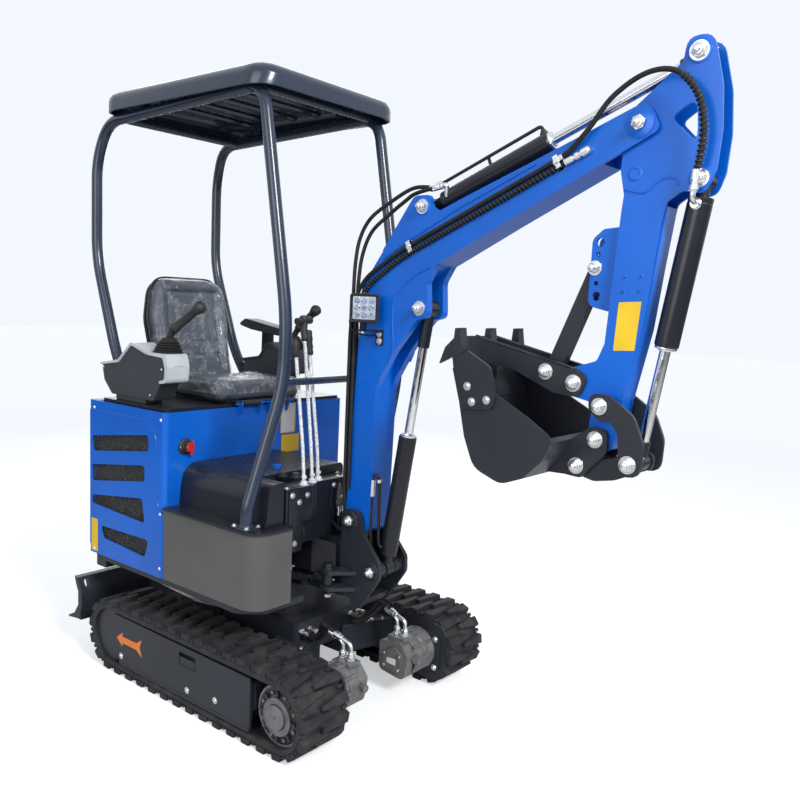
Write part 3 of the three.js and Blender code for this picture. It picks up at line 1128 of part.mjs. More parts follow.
// ---------------------------------------------------------------- origin

machine.position.x = -MIDDLE_X;
machine.updateMatrixWorld(true);

export default machine;
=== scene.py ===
import json
import math

import bmesh
import bpy
from mathutils import Matrix, Vector, noise


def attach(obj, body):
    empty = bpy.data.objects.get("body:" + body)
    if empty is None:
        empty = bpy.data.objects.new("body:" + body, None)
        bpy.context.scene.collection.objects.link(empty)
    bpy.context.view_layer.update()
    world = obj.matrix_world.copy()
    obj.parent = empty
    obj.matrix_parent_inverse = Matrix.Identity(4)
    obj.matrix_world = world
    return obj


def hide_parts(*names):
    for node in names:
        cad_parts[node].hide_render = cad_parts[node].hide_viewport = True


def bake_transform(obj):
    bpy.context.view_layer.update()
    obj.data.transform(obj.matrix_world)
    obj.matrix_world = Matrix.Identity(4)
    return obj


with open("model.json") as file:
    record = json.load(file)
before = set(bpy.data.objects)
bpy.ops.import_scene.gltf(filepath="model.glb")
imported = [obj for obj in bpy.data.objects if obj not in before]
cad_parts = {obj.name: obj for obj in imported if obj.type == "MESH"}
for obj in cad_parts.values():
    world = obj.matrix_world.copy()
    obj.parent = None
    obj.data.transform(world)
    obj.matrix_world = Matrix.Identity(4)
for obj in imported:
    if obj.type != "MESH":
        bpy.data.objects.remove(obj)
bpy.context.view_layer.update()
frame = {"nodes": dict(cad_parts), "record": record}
NODES = frame["nodes"]

# Drawing numbers are millimetres from the middle of the tracks, at ground level.
MIDDLE_X = 342
MM = 0.001


def at(x, y, z):
    """A point of the drawing, in metres in the shared frame."""
    return Vector(((x - MIDDLE_X) * MM, y * MM, z * MM))


X, Y, Z = Vector((1, 0, 0)), Vector((0, 1, 0)), Vector((0, 0, 1))


# ---------------------------------------------------------------- shader maths


class Value:
    """A number that varies over a surface. Arithmetic on it adds Math nodes."""

    def __init__(self, shader, socket):
        self.shader = shader
        self.socket = socket

    def math(self, operation, *others, clamp=False):
        settings = {"operation": operation, "use_clamp": clamp}
        return self.shader.node("ShaderNodeMath", settings, dict(enumerate((self, *others))))

    def __add__(self, other):
        return self.math("ADD", other)

    __radd__ = __add__

    def __mul__(self, other):
        return self.math("MULTIPLY", other)

    __rmul__ = __mul__

    def __sub__(self, other):
        return self.math("SUBTRACT", other)

    def __rsub__(self, other):
        return self * -1 + other

    def __truediv__(self, other):
        return self.math("DIVIDE", other)

    def clamped(self):
        return self.math("ADD", 0, clamp=True)

    def between(self, low, high):
        """0 at low and below, 1 at high and above."""
        return ((self - low) / (high - low)).clamped()


class Shader:
    """A material with one Principled BSDF, and the nodes that feed it."""

    def __init__(self, name, **constants):
        self.material = bpy.data.materials.new(name)
        self.material.use_nodes = True
        self.tree = self.material.node_tree
        self.surface = self.tree.nodes["Principled BSDF"]
        for socket, value in constants.items():
            self.set(socket.replace("_", " "), value)

    def set(self, socket, value):
        """Gives one of the surface's own sockets a number, a colour or a link."""
        self._feed(self.surface.inputs[socket], value)

    def _feed(self, socket, value):
        if isinstance(value, Value):
            self.tree.links.new(value.socket, socket)
        elif isinstance(value, (tuple, list, Vector)) and len(value) == 3 and socket.type == "RGBA":
            socket.default_value = (*value, 1)
        else:
            socket.default_value = value

    def node(self, kind, settings=None, inputs=None, out=0):
        """Adds a node: its settings first, then the values or links of its sockets."""
        made = self.tree.nodes.new(kind)
        for name, value in (settings or {}).items():
            setattr(made, name, value)
        for key, value in (inputs or {}).items():
            self._feed(made.inputs[key], value)
        return Value(self, made.outputs[out])

    def place(self):
        """The point on the object, in metres."""
        return self.node("ShaderNodeTexCoord", out="Object")

    def facing_up(self):
        normal = self.node("ShaderNodeNewGeometry", out="Normal")
        return self.node("ShaderNodeSeparateXYZ", inputs={0: normal}, out="Z")

    def noise(self, scale, detail=3.0, roughness=0.5):
        inputs = {"Vector": self.place(), "Scale": scale, "Detail": detail, "Roughness": roughness}
        return self.node("ShaderNodeTexNoise", inputs=inputs, out="Fac")

    def mix(self, low, high, share):
        settings = {"data_type": "RGBA"}
        return self.node("ShaderNodeMix", settings, {"Factor": share, 6: low, 7: high}, out=2)

    def bump(self, height, distance, strength=1.0):
        inputs = {"Height": height, "Distance": distance, "Strength": strength}
        self.set("Normal", self.node("ShaderNodeBump", inputs=inputs, out="Normal"))


DUST = (0.32, 0.28, 0.23)


def painted(name, colour, roughness, coat, dust=0.25, grain=0.00006):
    """Sprayed paint: slightly uneven colour, fine orange peel, and dust where it faces up."""
    s = Shader(name, Coat_Roughness=0.12, Coat_Weight=coat, Specular_IOR_Level=0.3)
    broad = s.noise(3.5, 4)
    fine = s.noise(60, 6, 0.6)
    deep = tuple(0.82 * c for c in colour)
    body = s.mix(colour, deep, broad.between(0.35, 0.7))
    settled = s.facing_up().between(0.3, 0.95) * fine.between(0.42, 0.8) * dust
    s.set("Base Color", s.mix(body, DUST, settled))
    s.set("Roughness", fine * 0.14 + settled * 0.4 + (roughness - 0.07))
    s.bump(s.noise(700, 2), grain)
    return s.material


BLUE = (0.001, 0.12, 0.60)
BLUE_PAINT = painted("blue_paint", BLUE, 0.34, 0.2, 0.15)
CHARCOAL_PAINT = painted("charcoal_paint", (0.020, 0.023, 0.032), 0.44, 0.1, 0.15)
BLACK_PAINT = painted("black_paint", (0.009, 0.011, 0.017), 0.36, 0.2, 0.12)
GREY_PAINT = painted("grey_paint", (0.090, 0.088, 0.087), 0.34, 0.25, 0.1)
CANOPY_PAINT = painted("canopy_paint", (0.018, 0.030, 0.058), 0.28, 0.4, 0.12)


def metal(name, colour, roughness, stain, blotch):
    """Bare or plated metal with duller patches."""
    s = Shader(name, Metallic=1.0)
    patch = s.noise(45, 5, 0.6).between(0.35, 0.75)
    s.set("Base Color", s.mix(colour, stain, patch * blotch))
    s.set("Roughness", patch * 0.2 + roughness)
    s.bump(s.noise(900, 2), 0.00005)
    return s.material


CHROME = metal("chrome", (0.78, 0.79, 0.81), 0.08, (0.55, 0.54, 0.53), 0.3)
ZINC = metal("zinc", (0.80, 0.81, 0.83), 0.24, (0.46, 0.45, 0.42), 0.6)


def cast(name, colour):
    """Rough painted casting."""
    s = Shader(name, Metallic=0.35)
    patch = s.noise(30, 6, 0.65)
    s.set("Base Color", s.mix(colour, tuple(0.5 * c for c in colour), patch.between(0.35, 0.75)))
    s.set("Roughness", patch * 0.2 + 0.42)
    s.bump(s.noise(260, 4, 0.7), 0.0005)
    return s.material


CAST_STEEL = cast("cast_steel", (0.19, 0.19, 0.19))


def rubber(name, colour, dusty):
    """Moulded rubber, greyer with dust where it faces up."""
    s = Shader(name, Specular_IOR_Level=0.3)
    patch = s.noise(16, 6, 0.65)
    settled = (s.facing_up().between(-0.4, 1.0) * 0.5 + 0.5) * patch.between(0.4, 0.75) * dusty
    s.set("Base Color", s.mix(colour, DUST, settled))
    s.set("Roughness", patch * 0.2 + 0.62)
    s.bump(s.noise(240, 5, 0.7), 0.0004)
    return s.material


TRACK_RUBBER = rubber("track_rubber", (0.014, 0.016, 0.020), 0.16)
HOSE_RUBBER = rubber("hose_rubber", (0.010, 0.010, 0.011), 0.06)


def plastic(name, colour, roughness):
    """Moulded plastic with a fine grained skin."""
    s = Shader(name)
    patch = s.noise(9, 4)
    s.set("Base Color", s.mix(colour, tuple(0.8 * c for c in colour), patch.between(0.3, 0.7)))
    s.set("Roughness", patch * 0.12 + roughness)
    s.bump(s.noise(1100, 2), 0.00012)
    return s.material


BLACK_PLASTIC = plastic("black_plastic", (0.013, 0.014, 0.016), 0.48)
DARK_PLASTIC = plastic("dark_plastic", (0.028, 0.033, 0.041), 0.5)
GREY_PLASTIC = plastic("grey_plastic", (0.54, 0.58, 0.61), 0.42)
RED_PLASTIC = plastic("red_plastic", (0.55, 0.02, 0.02), 0.4)
LABEL_YELLOW = plastic("label_yellow", (0.86, 0.56, 0.015), 0.45)
LABEL_WHITE = plastic("label_white", (0.78, 0.78, 0.76), 0.45)
LABEL_ORANGE = plastic("label_orange", (0.76, 0.20, 0.02), 0.45)


def wrapping():
    """White plastic film wound tight round a rod, dark where it is stretched."""
    s = Shader("wrapping", Coat_Weight=0.8, Coat_Roughness=0.08)
    folds = s.noise(150, 5, 0.7)
    s.set("Base Color", s.mix((0.38, 0.40, 0.44), (0.86, 0.88, 0.90), folds.between(0.35, 0.6)))
    s.set("Roughness", folds * 0.2 + 0.1)
    s.bump(folds, 0.0015)
    return s.material


LEVER_FILM = wrapping()


def screen_metal():
    """Black expanded metal, with light grey, glossier patches painted on as highlights."""
    s = Shader("screen_metal", Metallic=0.4)
    painted_highlight = s.noise(160, 4, 0.6).between(0.5, 0.72)
    # Painted highlight: light grey patches on the black metal.
    s.set("Base Color", s.mix((0.05, 0.05, 0.055), (0.30, 0.30, 0.30), painted_highlight))
    s.set("Roughness", painted_highlight * -0.15 + 0.5)
    return s.material


SCREEN_METAL = screen_metal()


def lamp_lens():
    """Bluish lens over a bright reflector."""
    s = Shader("lamp_lens", Coat_Weight=1.0, Coat_Roughness=0.03)
    rings = s.noise(150, 2)
    s.set("Base Color", s.mix((0.07, 0.12, 0.24), (0.30, 0.38, 0.52), rings.between(0.35, 0.65)))
    s.set("Roughness", rings * 0.1 + 0.08)
    return s.material


LAMP_LENS = lamp_lens()


def clear_film():
    """Loose polythene: almost clear, with long folds that carry painted highlights."""
    s = Shader("clear_film", Coat_Weight=0.9, Coat_Roughness=0.05)
    fold = (s.noise(9, 5, 0.68) - 0.5).math("ABSOLUTE").between(0.05, 0.0)
    fine = (s.noise(30, 5, 0.6) - 0.5).math("ABSOLUTE").between(0.06, 0.0)
    # Painted highlight: the film turns pale along the folds and grows more opaque along the folds and the
    # fine creases.
    s.set("Base Color", s.mix((0.36, 0.43, 0.55), (0.80, 0.84, 0.90), fold))
    s.set("Alpha", fold * 0.16 + fine * 0.12 + 0.14)
    s.set("Roughness", fine * 0.1 + 0.12)
    s.bump(fold + fine * 0.5, 0.004)
    return s.material


CLEAR_FILM = clear_film()


def vinyl():
    """Seat covering with a leather-like grain."""
    s = Shader("vinyl", Coat_Weight=0.25, Coat_Roughness=0.3)
    patch = s.noise(12, 4)
    s.set("Base Color", s.mix((0.022, 0.027, 0.040), (0.040, 0.048, 0.068), patch.between(0.3, 0.7)))
    s.set("Roughness", patch * 0.15 + 0.32)
    cells = s.node("ShaderNodeTexVoronoi", {"feature": "DISTANCE_TO_EDGE"},
                   {"Vector": s.place(), "Scale": 420.0}, out="Distance")
    s.bump(cells.between(0.0, 0.2), 0.0003, 0.8)
    return s.material


VINYL = vinyl()

MATERIALS = {
    "blue_paint": BLUE_PAINT,
    "charcoal_paint": CHARCOAL_PAINT,
    "black_paint": BLACK_PAINT,
    "grey_paint": GREY_PAINT,
    "canopy_paint": CANOPY_PAINT,
    "chrome": CHROME,
    "zinc": ZINC,
    "cast_steel": CAST_STEEL,
    "track_rubber": TRACK_RUBBER,
    "hose_rubber": HOSE_RUBBER,
    "vinyl": VINYL,
    "black_plastic": BLACK_PLASTIC,
    "grey_plastic": DARK_PLASTIC,
    "lamp_glass": BLACK_PLASTIC,
}


# ---------------------------------------------------------------- floor, lights, camera


SKY = (0.9, 0.94, 1.0)
FLOOR_REACH, FADE_FROM, FADE_TO = 30, 2.0, 9.0


def floor_paint():
    """Pale floor that holds the machine's shadow and melts into the sky far away."""
    s = Shader("floor_paint", Roughness=0.95, Specular_IOR_Level=0.1, Emission_Strength=1.0)
    reach = s.node("ShaderNodeVectorMath", {"operation": "LENGTH"}, {0: s.place()}, out="Value")
    far = reach.between(FADE_FROM, FADE_TO)
    seen = s.node("ShaderNodeLightPath", out="Is Camera Ray")
    s.set("Base Color", s.mix((0.78, 0.78, 0.78), (0.0, 0.0, 0.0), far))
    s.set("Emission Color", s.mix((0.0, 0.0, 0.0), s.mix((0.46, 0.47, 0.48), SKY, far), seen))
    return s.material


def stage():
    mesh = bpy.data.meshes.new("floor")
    corners = ((-1, -1), (1, -1), (1, 1), (-1, 1))
    mesh.from_pydata([(a * FLOOR_REACH, b * FLOOR_REACH, 0) for a, b in corners], [], [(0, 1, 2, 3)])
    floor = bpy.data.objects.new("floor", mesh)
    floor.location.z = -0.001
    bpy.context.scene.collection.objects.link(floor)
    mesh.materials.append(floor_paint())
    world = bpy.data.worlds.new("sky")
    world.use_nodes = True
    tree = world.node_tree
    background = tree.nodes["Background"]
    background.inputs["Color"].default_value = (*SKY, 1)
    path = tree.nodes.new("ShaderNodeLightPath")
    seen = tree.nodes.new("ShaderNodeMath")
    seen.operation = "MAXIMUM"
    tree.links.new(path.outputs["Is Camera Ray"], seen.inputs[0])
    tree.links.new(path.outputs["Is Glossy Ray"], seen.inputs[1])
    strength = tree.nodes.new("ShaderNodeMapRange")
    strength.inputs["To Min"].default_value = 0.45
    strength.inputs["To Max"].default_value = 1.0
    tree.links.new(seen.outputs[0], strength.inputs["Value"])
    tree.links.new(strength.outputs[0], background.inputs["Strength"])
    bpy.context.scene.world = world


def lamp(name, place, target, size, power):
    data = bpy.data.lights.new(name, "AREA")
    data.size = size
    data.energy = power
    light = bpy.data.objects.new(name, data)
    light.location = place
    light.rotation_euler = (Vector(target) - Vector(place)).to_track_quat("-Z", "Y").to_euler()
    bpy.context.scene.collection.objects.link(light)


def lights():
    middle = (0, 0, 1.0)
    lamp("key", (5.0, -1.6, 4.4), middle, 1.5, 330)
    lamp("side_fill", (0.8, -5.6, 2.6), middle, 3.2, 120)
    lamp("rear_fill", (-4.5, 3.5, 3.2), middle, 3.0, 90)


CAMERA_YAW, CAMERA_PITCH, CAMERA_ROLL = math.radians(128.78), math.radians(-6.55), math.radians(2.47)
CAMERA_PLACE, CAMERA_LENS = at(2303, -2203, 1457), 37.2


def camera():
    data = bpy.data.cameras.new("camera")
    data.sensor_width = 36
    data.lens = CAMERA_LENS
    cam = bpy.data.objects.new("camera", data)
    forward = Vector((math.cos(CAMERA_YAW) * math.cos(CAMERA_PITCH),
                      math.sin(CAMERA_YAW) * math.cos(CAMERA_PITCH), math.sin(CAMERA_PITCH)))
    side = forward.cross(Z).normalized()
    up = side.cross(forward)
    right = side * math.cos(CAMERA_ROLL) + up * math.sin(CAMERA_ROLL)
    top = up * math.cos(CAMERA_ROLL) - side * math.sin(CAMERA_ROLL)
    turn = Matrix((right, top, -forward)).transposed().to_4x4()
    cam.matrix_world = Matrix.Translation(CAMERA_PLACE) @ turn
    bpy.context.scene.collection.objects.link(cam)
    bpy.context.scene.camera = cam


stage()
lights()
camera()
bpy.context.scene.view_settings.view_transform = "Standard"


# ---------------------------------------------------------------- CAD nodes that stay


def dress_node(node, material, edge=0.0015):
    """Paints a CAD node and softens its edges."""
    node.data.materials.clear()
    node.data.materials.append(material)
    for face in node.data.polygons:
        face.use_smooth = True
    weld = node.modifiers.new("weld", "WELD")
    weld.merge_threshold = 0.00002
    bevel = node.modifiers.new("edges", "BEVEL")
    bevel.width = edge
    bevel.segments = 2
    bevel.limit_method = "ANGLE"
    bevel.angle_limit = math.radians(32)
    bevel.use_clamp_overlap = True
    bevel.harden_normals = True
    normals = node.modifiers.new("normals", "WEIGHTED_NORMAL")
    normals.keep_sharp = True


SLOT_OF = {part["node"]: part["material_slot"] for part in frame["record"]["subparts"]}
for name, node in NODES.items():
    dress_node(node, MATERIALS[SLOT_OF[name]])


# ---------------------------------------------------------------- mesh tools


def rounded(corners, steps=6):
    """A closed outline from corners (a, b) or (a, b, radius)."""
    points = []
    for i, corner in enumerate(corners):
        here = Vector(corner[:2])
        before = Vector(corners[i - 1][:2]) - here
        after = Vector(corners[(i + 1) % len(corners)][:2]) - here
        radius = corner[2] if len(corner) > 2 else 0
        if radius == 0:
            points.append(here)
            continue
        reach = min(radius / math.tan(before.angle(after) / 2), 0.499 * min(before.length, after.length))
        start = here + before.normalized() * reach
        end = here + after.normalized() * reach
        for step in range(steps + 1):
            t = step / steps
            points.append(start.lerp(here, t).lerp(here.lerp(end, t), t))
    return points


def route(points, bend=40, steps=6):
    """A path through points in space, with its corners rounded."""
    path = [points[0]]
    for before, here, after in zip(points, points[1:], points[2:]):
        reach = min(bend * MM, 0.48 * (before - here).length, 0.48 * (after - here).length)
        start = here + (before - here).normalized() * reach
        end = here + (after - here).normalized() * reach
        path += [start.lerp(here, s / steps).lerp(here.lerp(end, s / steps), s / steps)
                 for s in range(steps + 1)]
    return path + [points[-1]]


def curved(points, steps=8):
    """A smooth path through every one of the points."""
    ends = [points[0] * 2 - points[1]] + points + [points[-1] * 2 - points[-2]]
    path = []
    for a, b, c, d in zip(ends, ends[1:], ends[2:], ends[3:]):
        for step in range(steps):
            t = step / steps
            path.append(0.5 * (2 * b + (c - a) * t + (2 * a - 5 * b + 4 * c - d) * t ** 2
                               + (3 * b - a - 3 * c + d) * t ** 3))
    return path + [points[-1]]


def subdivided(path, step=8):
    """A path cut into runs no longer than the step, in millimetres."""
    fine = [path[0]]
    for a, b in zip(path, path[1:]):
        count = max(1, int((b - a).length / MM / step))
        fine += [a.lerp(b, k / count) for k in range(1, count + 1)]
    return fine


class Piece:
    """Closed shapes gathered into one object."""

    def __init__(self):
        self.bm = bmesh.new()

    def _skin(self, rings, closed=False):
        pairs = list(zip(rings, rings[1:])) + ([(rings[-1], rings[0])] if closed else [])
        for low, high in pairs:
            for i in range(len(low)):
                j = (i + 1) % len(low)
                self.bm.faces.new((low[i], low[j], high[j], high[i]))
        if not closed:
            self.bm.faces.new(tuple(reversed(rings[0])))
            self.bm.faces.new(tuple(rings[-1]))
        return self

    def turned(self, start, axis, profile, sides=28, spin=0.0):
        """A turned shape. Its profile holds (distance along the axis, radius), in millimetres."""
        axis = axis.normalized()
        side = (Z if abs(axis.z) < 0.9 else X).cross(axis).normalized()
        up = axis.cross(side)
        rings = []
        for along, radius in profile:
            middle = start + axis * along * MM
            turns = [2 * math.pi * i / sides + spin for i in range(sides)]
            rings.append([self.bm.verts.new(middle + (side * math.cos(a) + up * math.sin(a)) * max(radius,
                                                                                                   0.05) * MM)
                          for a in turns])
        return self._skin(rings)

    def bar(self, start, end, radius, sides=20):
        """A round bar from one point to another."""
        length = (end - start).length / MM
        return self.turned(start, end - start, [(0, radius), (length, radius)], sides)

    def swept(self, path, radius, sides=12, closed=False):
        """A round bar along a path. The radius is a number, or a function of the share run."""
        up = None
        rings = []
        count = len(path)
        for i, here in enumerate(path):
            before = path[i - 1] if (i or closed) else here
            after = path[(i + 1) % count] if (i < count - 1 or closed) else here
            along = (after - before).normalized()
            if up is None:
                up = (Z if abs(along.z) < 0.9 else X).cross(along).normalized()
            up = (up - along * up.dot(along)).normalized()
            side = along.cross(up)
            size = radius(i / (count - 1)) if callable(radius) else radius
            rings.append([self.bm.verts.new(here + (up * math.cos(2 * math.pi * k / sides)
                                                    + side * math.sin(2 * math.pi * k / sides)) * size * MM)
                          for k in range(sides)])
        return self._skin(rings, closed)

    def slab(self, corners, thickness):
        """A plate from its corners in space, given thickness by a vector."""
        low = [self.bm.verts.new(corner) for corner in corners]
        high = [self.bm.verts.new(corner + thickness) for corner in corners]
        return self._skin([low, high])

    def across(self, corners, y0, y1, steps=6):
        """A plate in the plane of the boom, from corners (x, z)."""
        return self.slab([at(p.x, y0, p.y) for p in rounded(corners, steps)], Y * (y1 - y0) * MM)

    def upright(self, corners, z0, z1, steps=6):
        """A plate seen in plan, from corners (x, y)."""
        return self.slab([at(p.x, p.y, z0) for p in rounded(corners, steps)], Z * (z1 - z0) * MM)

    def facing(self, corners, x0, x1, steps=6):
        """A plate seen from the front, from corners (y, z)."""
        return self.slab([at(x0, p.x, p.y) for p in rounded(corners, steps)], X * (x1 - x0) * MM)

    def block(self, x0, x1, y0, y1, z0, z1):
        return self.upright([(x0, y0), (x1, y0), (x1, y1), (x0, y1)], z0, z1)

    def nut(self, start, axis, size=19, washer=24, stud=10):
        """A lock nut on a washer, with the end of its stud."""
        self.turned(start, axis, [(0, washer), (3, washer)], 32)
        self.turned(start, axis, [(3, size), (14, size), (15.5, 0.9 * size)], 6, 0.3)
        self.turned(start, axis, [(15, 0.74 * size), (20, 0.74 * size), (21.5, 0.62 * size)], 28)
        self.turned(start, axis, [(21, stud), (28, stud), (29.5, stud - 2)], 20)
        return self

    def bolt(self, start, axis, size=8, height=6, washer=True):
        """A hexagon head, on a washer if there is one."""
        if washer:
            self.turned(start, axis, [(0, 1.5 * size), (1.5, 1.5 * size)], 20)
        self.turned(start, axis, [(1, size - 0.6), (1.8, size), (height, size), (height + 1, size - 1.2)], 6,
                    0.2)
        return self

    def screw(self, start, axis, size=7):
        """A domed button head with its socket."""
        self.turned(start, axis, [(0, size), (1.2, size), (3.2, 0.75 * size), (3.8, 0.45 * size),
                                  (2.2, 0.42 * size)], 20)
        return self

    def made(self, name, body, material, slot=None, edge=0.8, replaces=(), sharp=38, segments=2):
        """Makes the object, softens its edges and lets it ride on its body."""
        bmesh.ops.recalc_face_normals(self.bm, faces=self.bm.faces)
        mesh = bpy.data.meshes.new(name)
        self.bm.to_mesh(mesh)
        self.bm.free()
        mesh.materials.append(material)
        mesh.shade_smooth()
        mesh.set_sharp_from_angle(angle=math.radians(sharp))
        piece = bpy.data.objects.new(name, mesh)
        bpy.context.scene.collection.objects.link(piece)
        if edge:
            bevel = piece.modifiers.new("edges", "BEVEL")
            bevel.width = edge * MM
            bevel.segments = segments
            bevel.limit_method = "ANGLE"
            bevel.angle_limit = math.radians(sharp)
            bevel.harden_normals = True
        if body:
            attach(piece, body)
        if replaces:
            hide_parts(*replaces)
        return piece


SIDES = ((-1, "R"), (1, "L"))
SQUARE = ((-1, -1), (1, -1), (1, 1), (-1, 1))


def squared(half, corner):
    """Corners of a rounded square about the middle."""
    return [(a * half, b * half, corner) for a, b in SQUARE]


# ---------------------------------------------------------------- tracks and undercarriage

TRACK_RADIUS, AXLE_X, BELT_OUTER = 140.5, 470.5, 122.5
BELT_MIDDLE, BELT_HALF, LUG_PAIRS = 388, 102, 37
FRAME_FACE, MOTOR_FACE, MOTOR_END = 484, 276, 110


def loop_point(share, radius, y):
    """A point of the belt's loop at a share of its length and a distance from its wheels."""
    straight, arc = 2 * AXLE_X, math.pi * TRACK_RADIUS
    run = share % 1 * 2 * (straight + arc)
    if run < straight:
        x, z = AXLE_X - run, radius
    elif run < straight + arc:
        angle = math.pi / 2 + (run - straight) / TRACK_RADIUS
        x, z = -AXLE_X + radius * math.cos(angle), radius * math.sin(angle)
    elif run < 2 * straight + arc:
        x, z = run - straight - arc - AXLE_X, -radius
    else:
        angle = -math.pi / 2 + (run - 2 * straight - arc) / TRACK_RADIUS
        x, z = AXLE_X + radius * math.cos(angle), radius * math.sin(angle)
    return at(x, y, TRACK_RADIUS + z)


def belt(side, suffix):
    """A rubber belt: a flat carcass with two staggered rows of chunky lugs."""
    piece = Piece()
    section = [(-102, 101), (-102, 116), (-95, 122.5), (95, 122.5), (102, 116), (102, 101)]
    stations = 4 * LUG_PAIRS
    piece._skin([[piece.bm.verts.new(loop_point(i / stations, radius, side * (BELT_MIDDLE + across)))
                  for across, radius in section] for i in range(stations)], closed=True)
    for i in range(LUG_PAIRS):
        for half in (-1, 1):
            middle = (i + (0.25 if half > 0 else 0.75)) / LUG_PAIRS
            rings = []
            for across, base, crown in ((half * BELT_HALF, 0.33, 0.24), (half * 60, 0.31, 0.22),
                                        (half * 22, 0.22, 0.14), (-half * 16, 0.17, 0.1)):
                y = side * (BELT_MIDDLE + across)
                skew = 0.07 * half * (1 - across / (half * BELT_HALF))
                rings.append([piece.bm.verts.new(loop_point(middle + (skew + along) / LUG_PAIRS, radius, y))
                              for along, radius in ((-base, BELT_OUTER - 2), (-crown, TRACK_RADIUS),
                                                    (crown, TRACK_RADIUS), (base, BELT_OUTER - 2))])
            piece._skin(rings)
            edge = half * (BELT_HALF - 1)
            low = [piece.bm.verts.new(loop_point(middle + (0.5 + along) / LUG_PAIRS, radius,
                                                 side * (BELT_MIDDLE + edge)))
                   for along, radius in ((-0.12, BELT_OUTER - 2), (-0.08, BELT_OUTER + 8),
                                         (0.08, BELT_OUTER + 8), (0.12, BELT_OUTER - 2))]
            high = [piece.bm.verts.new(vert.co - Y * side * half * 24 * MM) for vert in low]
            piece._skin([low, high])
    piece.made(f"belt_{suffix}", "undercarriage", TRACK_RUBBER, "track_rubber", edge=2.2,
               replaces=[f"track_belt_{suffix}"], sharp=30)


def flow_arrow(side, suffix):
    """A plain painted arrow that points to the rear."""
    arrow = [(-422, 145), (-384, 172), (-384, 157), (-292, 158), (-258, 180), (-272, 146), (-256, 112),
             (-292, 132), (-384, 131), (-384, 117)]
    Piece().across(arrow, side * FRAME_FACE, side * (FRAME_FACE + 0.6)).made(
        f"flow_arrow_{suffix}", "undercarriage", LABEL_ORANGE, edge=0)


def frame_trim(side, suffix):
    """Bolts and the small window's rim on the side plate, and the drive wheel's hub."""
    out = Y * side
    bolts = Piece()
    for x, z in ((17, 78), (171, 94), (-392, 78)):
        bolts.turned(at(x, side * FRAME_FACE, z), out, [(0, 12), (1.2, 12)], 20)
        bolts.turned(at(x, side * FRAME_FACE, z), out, [(1, 7), (4, 7), (5, 5.5)], 6)
    bolts.made(f"side_bolts_{suffix}", "undercarriage", ZINC, "zinc", edge=0.3)
    rim = Piece().swept([at(x, side * (FRAME_FACE + 0.2), z) for x, z in (
        (-30, 160), (-30, 207), (60, 207), (60, 160))], 1.6, 8, closed=True)
    for corners in ([(-404, 40, 4), (-404, 52, 4), (345, 56, 4), (345, 44, 4)],
                    [(-437, 226, 4), (-437, 234, 3), (348, 230, 3), (348, 222, 4)]):
        rim.across(corners, side * (FRAME_FACE - 3), side * (FRAME_FACE + 1.5))
    rim.made(f"side_plate_rim_{suffix}", "undercarriage", CHARCOAL_PAINT, "charcoal_paint")
    hub = Piece()
    centre = at(AXLE_X, side * 464, TRACK_RADIUS)
    hub.turned(centre, out, [(0, 92), (3, 92), (5, 86), (5, 70), (1, 66), (1, 48), (14, 44), (20, 40),
                             (22, 26), (23.5, 20)], 48)
    for k in range(8):
        angle = math.pi * k / 4
        ray = X * math.cos(angle) + Z * math.sin(angle)
        flat = Vector((-ray.z, 0, ray.x)) * 4 * MM
        inner, outer = centre + ray * 40 * MM, centre + ray * 84 * MM
        hub.slab([inner - flat, outer - flat, outer + flat, inner + flat], out * 15 * MM)
    hub.made(f"wheel_hub_{suffix}", "undercarriage", CHARCOAL_PAINT, "charcoal_paint")
    tips = Piece()
    for k in range(8):
        angle = math.pi * (k + 0.5) / 4
        spot = centre + (X * math.cos(angle) + Z * math.sin(angle)) * 76 * MM + out * 4 * MM
        tips.bolt(spot, out, 7, 6, washer=False)
    for k in range(6):
        angle = math.pi * k / 3
        tips.screw(centre + (X * math.cos(angle) + Z * math.sin(angle)) * 32 * MM + out * 20.5 * MM, out, 4.5)
    tips.turned(centre, out, [(22, 9), (24, 9)], 6)
    tips.made(f"wheel_bolts_{suffix}", "undercarriage", CAST_STEEL, "cast_steel", edge=0.3)


